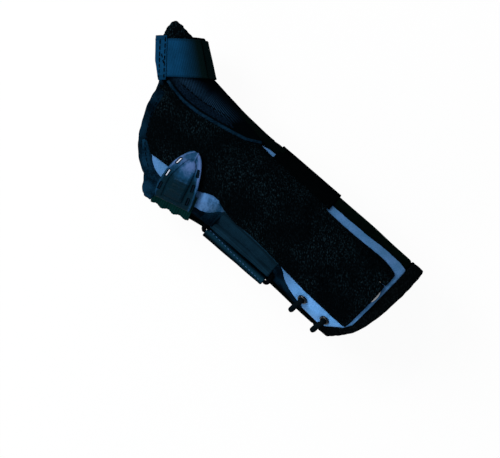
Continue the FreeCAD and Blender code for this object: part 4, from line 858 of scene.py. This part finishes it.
# --- Elastic palm strap -----------------------------------------------------------------
# Ribbed elastic, sewn to the back panel and wrapped round the little finger edge of the
# palm, where its ribs bunch up. The pull tab is sewn on its end.
CROSS = math.radians(16.5)
palm_along = np.array([math.cos(CROSS), math.sin(CROSS)])
palm_over = np.array([math.sin(CROSS), -math.cos(CROSS)])
palm_mid = np.array([0.0366, 0.0422])
ELASTIC_RIB = 0.0017
elastic_made = finish("elastic", 0.85, specular=0.0)
ribbing = elastic_made[1].read("beside").wave(ELASTIC_RIB)
yarns = elastic_made[1].noise(0.0007, 2.0)
elastic = dress(elastic_made,
                (ribbing * 0.3 + yarns * 0.7).tint((0.0012, 0.0095, 0.0095), (0.0026, 0.0270, 0.0270)),
                ribbing * 0.5 + yarns * 0.3, 0.0003)
for node, name, body in (("palm_strap", "palm_elastic", "shell"),
                         ("palm_strap_end", "palm_elastic_end", "palm_tab")):
    band = solid_copy(node, name)
    soften(band, 0.00045, rounds=4)
    places, ways = read_mesh(band)
    beside = (places[:, :2] - palm_mid) @ palm_along
    bunched = np.clip((places[:, 1] - 0.036) / 0.010, 0, 1) ** 2
    folds = 0.45 + 0.9 * np.cos(2 * math.pi * beside / 0.0088 + 1.2 + 25 * places[:, 2])
    ribs = np.cos(2 * math.pi * beside / ELASTIC_RIB)
    write_mesh(band, places + ways * (0.0008 * folds * bunched + 0.00010 * ribs)[:, None])
    store(band, "beside", beside)
    place_piece(band, elastic, body, "elastic", node)

# --- Pull tab ---------------------------------------------------------------------------
# Soft plastic tongue moulded with a raised rim, stitch slots along the rim and a plain
# pillow with three grip bars where a thumb presses. It is stitched to the elastic.
tab_made = finish("tab_plastic", 0.42, specular=0.025)
scuff = tab_made[1].noise(0.0035, 4.0)
grainy = tab_made[1].noise(0.0004, 1.0)
mottled = tab_made[1].noise(0.0014, 3.0)
# Painted highlight lightens the tab towards its tip, on its rims and pillow; the stitch slots get painted
# shade. Scuffs and mottling are random tone.
over = tab_made[1].read("over")
tip_highlight = over.step(0.012, 0.034) - over.step(0.0285, 0.0335) * 0.42
raised = tab_made[1].read("raised")
cut = tab_made[1].read("cut")
tab_tone = (tip_highlight * 0.62 + scuff * 0.40 + mottled * 0.35 + raised * 0.27 - 0.26).step(0.0, 1.05)
tab_tone = tab_tone * (1 - cut)
tab_navy = tab_tone.step(0.0, 0.55).tint((0.0006, 0.0085, 0.0150), (0.0060, 0.0420, 0.1020))
# Where the tone is high it turns pale lavender, a painted highlight.
tab_plastic = dress(tab_made, tab_tone.step(0.42, 0.95).blend(tab_navy, (0.054, 0.108, 0.252, 1)),
                    grainy * 0.4 + mottled * 0.5, 0.00012, 0.34 + scuff * 0.25)
# Stitches on the tip's far side are painted pale as a glint; the rest are painted dark navy.
thread_made = finish("thread_painted_glint", 0.35, specular=0.02)
ply = thread_made[1].noise(0.0007, 2.0)
pale = thread_made[1].read("pale")
thread_painted_glint = dress(thread_made,
                    (pale * (ply * 0.5 + 0.5)).tint((0.0012, 0.0050, 0.0110), (0.62, 0.66, 0.78)),
                    ply, 0.0001)
threads = solid_copy("tab_stitches", "tab_thread")
soften(threads, 0.00022, rounds=3)
places, ways = read_mesh(threads)
flat = places[:, :2] - palm_mid
write_mesh(threads, places - np.array([0, 0, 1]) * 0.00020 - ways * 0.00030)
store(threads, "pale", ((flat @ palm_along > 0) & (flat @ palm_over > 0.0125)).astype(float))
place_piece(threads, thread_painted_glint, "palm_tab", "thread", "tab_stitches")
tab = solid_copy("pull_tab", "pull_tab_plastic")
soften(tab, 0.00035, rounds=3)
slots = KDTree(len(places))
for number, place in enumerate(places):
    slots.insert(Vector((place[0], place[1], 0)), number)
slots.balance()
places, ways = read_mesh(tab)
to_slot = np.array([slots.find(Vector((x, y, 0)))[2] for x, y in places[:, :2]])
flat = places[:, :2] - palm_mid
over_root = flat @ palm_over
beside = flat @ palm_along
upper = np.clip(ways[:, 2] * 3, 0, 1)
middle = np.interp(over_root, [0.003, 0.020, 0.031], [0.0017, 0.0010, -0.0012])
half = np.interp(over_root, [0.003, 0.016, 0.0205, 0.0266, 0.030, 0.0315],
                 [0.0066, 0.0064, 0.0058, 0.0043, 0.0022, 0.0005])
inside = np.clip(1 - ((beside - middle) / half) ** 2, 0, 1) * np.clip((over_root - 0.003) / 0.003, 0, 1)
pillow = 0.0008 * np.sqrt(inside)
for grip_bar in (0.0085, 0.0120, 0.0155):
    pillow += 0.00055 * close_to(over_root - grip_bar, 0.0006) * np.clip(inside * 2.5 - 0.9, 0, 1)
pillow += 0.0004 * close_to(beside - middle + half * 0.72, 0.0008) * (over_root > 0.004) * (over_root < 0.022)
far_side = np.interp(over_root, [0, 0.008, 0.014, 0.021, 0.0275, 0.0335, 0.0376],
                     [0.0142, 0.0149, 0.0143, 0.0130, 0.0106, 0.0069, 0.0022])
lip = close_to(beside - far_side + 0.0009, 0.0007)
near_side = np.interp(over_root, [0, 0.0099, 0.017, 0.024, 0.0301, 0.0363],
                      [-0.0127, -0.0122, -0.0111, -0.0093, -0.0072, -0.0032])
lip += close_to(beside - near_side - 0.0009, 0.0007)
cut_in = np.clip(1.5 - to_slot / 0.00030, 0, 1)
pillow += 0.0003 * lip - 0.0006 * cut_in
write_mesh(tab, places + ways * (pillow * upper)[:, None])
store(tab, "over", over_root)
# The rims and pillow are marked for painted highlight, the slots for painted shade.
near_lip = 1.5 * close_to(beside - near_side - 0.0009, 0.0011) * np.clip((over_root - 0.010) / 0.006, 0, 1)
store(tab, "raised", np.clip(lip + near_lip + 0.8 * inside * (over_root > 0.016), 0, 1.6))
store(tab, "cut", np.clip(cut_in * 1.3, 0, 1))
place_piece(tab, tab_plastic, "palm_tab", "tab", "pull_tab")

# --- Hooks and metal --------------------------------------------------------------------
# Moulded hook patches are sewn under the loose ends. The wrist ring is bent from round wire,
# the eyelets are pressed into the panels, and the stays are rolled aluminium sheet.
hook = one_grain("hook_plastic", 0.6, 0.0009, (0.002, 0.003, 0.004), (0.012, 0.016, 0.020), 0.0006,
                 detail=1.0, specular=0.1)
wire_made = finish("ring_black", 0.3, specular=0.0)
worn_wire = wire_made[1].noise(0.004, 3.0)
wire = dress(wire_made, worn_wire.step(0.5, 0.8).tint((0.0008, 0.0012, 0.0018), (0.0030, 0.0045, 0.0070)),
             worn_wire, 0.00005, 0.24 + worn_wire * 0.14)
eyelet = one_grain("eyelet_black", 0.12, 0.002, (0.0006, 0.0008, 0.0012), (0.0050, 0.0070, 0.0100), 0.00005,
                   detail=3.0, edges=(0.35, 0.75), specular=0.35)
metal_made = finish("stay_aluminium", 0.32, metallic=0.45)
brushed = metal_made[1].noise(0.0012, 3.0, (0.06, 1, 1))
aluminium = dress(metal_made, brushed.tint((0.72, 0.75, 0.78), (0.95, 0.97, 0.99)),
                  brushed, 0.00004, 0.22 + brushed * 0.2)
for nodes, material in ((("wrist_hook_pad", "tab_hook_pad", "thumb_hook_pad"), hook),
                        (("palmar_eyelets", "dorsal_eyelets"), eyelet),
                        (("dorsal_stay", "thumb_stay"), aluminium)):
    for node in nodes:
        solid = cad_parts[node]
        solid.data.materials.clear()
        solid.data.materials.append(material)
ring = solid_copy("wrist_ring", "ring_wire")
soften(ring, 0.0004, rounds=4)
places, ways = read_mesh(ring)
clear = np.clip((abs(places[:, 0] - WRIST_AT) - WRIST_HALF) / 0.0012, 0, 1)
write_mesh(ring, places + ways * (0.0006 * clear)[:, None])
place_piece(ring, wire, "ring", "ring", "wrist_ring")
stay_end = solid_copy("palmar_stay", "palm_stay")
soften(stay_end, 0.00045, rounds=3)
places, ways = read_mesh(stay_end)
first = places[:, 0].min()
middle = places[places[:, 0] < first + 0.003, 1].mean()
bow = 0.0042 * np.clip(abs(places[:, 1] - middle) / 0.009, 0, 1) ** 2.2
places[:, 0] += bow * np.clip(1 - (places[:, 0] - first) / 0.012, 0, 1)
write_mesh(stay_end, places)
place_piece(stay_end, aluminium, "palmar_stay_bar", "stay", "palmar_stay")

# --- Lace -------------------------------------------------------------------------------
# Braided cord, one closed loop through the four eyelets: over the slit outside, along the
# shell inside.
lace_black = one_grain("lace_braid", 0.7, 0.0007, (0.0005, 0.0012, 0.0018), (0.0034, 0.0070, 0.0095), 0.0003)
lace = solid_copy("lace", "lace_cord")
soften(lace, 0.00032, rounds=4)
places, ways = read_mesh(lace)
braid = (np.sin(places @ np.array([0.3, 0.7, 0.7]) * 4200)
         * np.sin(places @ np.array([0.9, -0.6, 0.4]) * 4200))
covers = [under_skin.ray_cast(Vector((x, y, ABOVE)), DOWN)[0] for x, y in places[:, :2]]
outside = np.array([float(cover is None or z > cover.z + 0.0003) for cover, z in zip(covers, places[:, 2])])
write_mesh(lace, places + ways * ((0.0008 * outside) + 0.00014 * braid)[:, None])
place_piece(lace, lace_black, "shell", "lace", "lace")

# --- Seams ------------------------------------------------------------------------------
# Lockstitch rows that hold the pile, the bindings, the hem and the strap ends down. Every
# stitch is a short rounded bar of thread that dips into the cloth at both ends.


def sew(name, lines, skin, body, thread, long, gap, thick):
    """Rows of stitches along lines of (point, direction towards the skin)."""
    corners = []
    faces = []
    around = 6
    for line in lines:
        hits = []
        for point, way in line:
            hit, normal, _, _ = skin.ray_cast(point, way)
            if hit is not None:
                hits.append((hit, normal if normal.dot(way) < 0 else -normal))
        run = 0.0
        start = None
        for (here, up), (ahead, _) in zip(hits, hits[1:]):
            if start is None:
                start = (here, up)
            run += (ahead - here).length
            if run >= long:
                first, last = start[0], ahead
                along = (last - first).normalized()
                side = along.cross(up).normalized()
                lift = side.cross(along)
                base = len(corners)
                for share, size in ((0.0, 0.45), (0.2, 1.0), (0.8, 1.0), (1.0, 0.45)):
                    spot = first.lerp(last, share) + lift * thick * (0.55 if 0.1 < share < 0.9 else 0.0)
                    for k in range(around):
                        turn = 2 * math.pi * k / around
                        ray = side * math.cos(turn) + lift * math.sin(turn)
                        corners.append(spot + ray * thick * size)
                for ring in range(3):
                    for k in range(around):
                        a = base + ring * around + k
                        b = base + ring * around + (k + 1) % around
                        faces.append((a, b, b + around, a + around))
                faces.append([base + k for k in range(around)][::-1])
                faces.append([base + 3 * around + k for k in range(around)])
                start = None
                run = -gap
            elif run < 0:
                start = None
    mesh = bpy.data.meshes.new(name)
    mesh.from_pydata(corners, [], faces)
    mesh.polygons.foreach_set("use_smooth", [True] * len(mesh.polygons))
    made = bpy.data.objects.new(name, mesh)
    scene.collection.objects.link(made)
    mesh.materials.append(thread)
    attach(made, body)


def from_above(line):
    """Rays that look for the palm side's skin under plan points."""
    return [(Vector((p.x, p.y, ABOVE)), DOWN) for p in line]


def on_strap(ahead, side):
    """Plan point on the thumb strap, in metres from its middle."""
    point = strap_mid + strap_ahead * ahead + strap_side * side
    return Vector((point[0], point[1], 0))


thread_dark = one_grain("thread_dark", 0.85, 0.0006, (0.0003, 0.0006, 0.0010), (0.0012, 0.0022, 0.0034),
                        0.0001)
thread_blue = one_grain("thread_blue", 0.6, 0.0006, (0.010, 0.040, 0.100), (0.040, 0.120, 0.260), 0.0001,
                        specular=0.1)
binding_row = plan_line([plan_of(x, share) for x, share in (
    (90.6, -0.215), (88.6, -0.03), (85.6, 0.12), (77.6, 0.405), (70.8, 0.55), (62.5, 0.68))])
tape_row = plan_line([(84.8, -20.8), (80.5, -20.9), (72.2, -21.1), (64.3, -22.0), (57.0, -23.5),
                      (49.8, -25.0), (44, -26.4)])
fold_rows = [smooth_line([on_strap(*place) for place in row], 0.0004) for row in (
    ((-0.0135, 0.0171), (0.0, 0.0171), (0.0135, 0.0171)),
    ((-0.0135, 0.0137), (0.0, 0.0137), (0.0135, 0.0137)),
    ((-0.004, 0.0140), (0.001, 0.0155), (0.006, 0.0168)))]
hem_row = plan_line([(-107.0, -31), (-107.2, -12), (-104.5, 6), (-100.5, 18), (-96.2, 27.0)])
tail_row = plan_line([(6.4, 38.4), (-18, 39.5), (-41.4, 40.3)])
pile_row = plan_line([(-99.0, -20), (-93, -22.6), (-81, -22.4), (-60, -22.2), (-46, -22.0)])
for name, rows, pieces, body, thread, long, gap, thick in (
        ("palm_binding_stitches", [binding_row], (bands["palm_binding"], palm_corner, base, top), "shell",
         thread_dark, 0.0022, 0.0012, 0.00026),
        ("seam_tape_stitches", [tape_row], (sleeve, trims["seam_tape"]), "shell",
         thread_dark, 0.0024, 0.0012, 0.0004),
        ("thumb_fold_stitches", fold_rows, (thumb_fold, thumb_run), "thumb_tab",
         thread_dark, 0.0026, 0.0012, 0.00042),
        ("hem_stitches", [hem_row], (hem,), "shell", thread_dark, 0.0024, 0.0012, 0.0003),
        ("wrist_fold_stitches", [tail_row], (tail, wrist_strap), "wrist_tail",
         thread_blue, 0.0013, 0.0014, 0.0003),
        ("pile_edge_stitches", [pile_row], (top,), "shell", thread_dark, 0.0022, 0.0012, 0.00028)):
    sew(name, [from_above(row) for row in rows], skin_of(*pieces), body, thread, long, gap, thick)
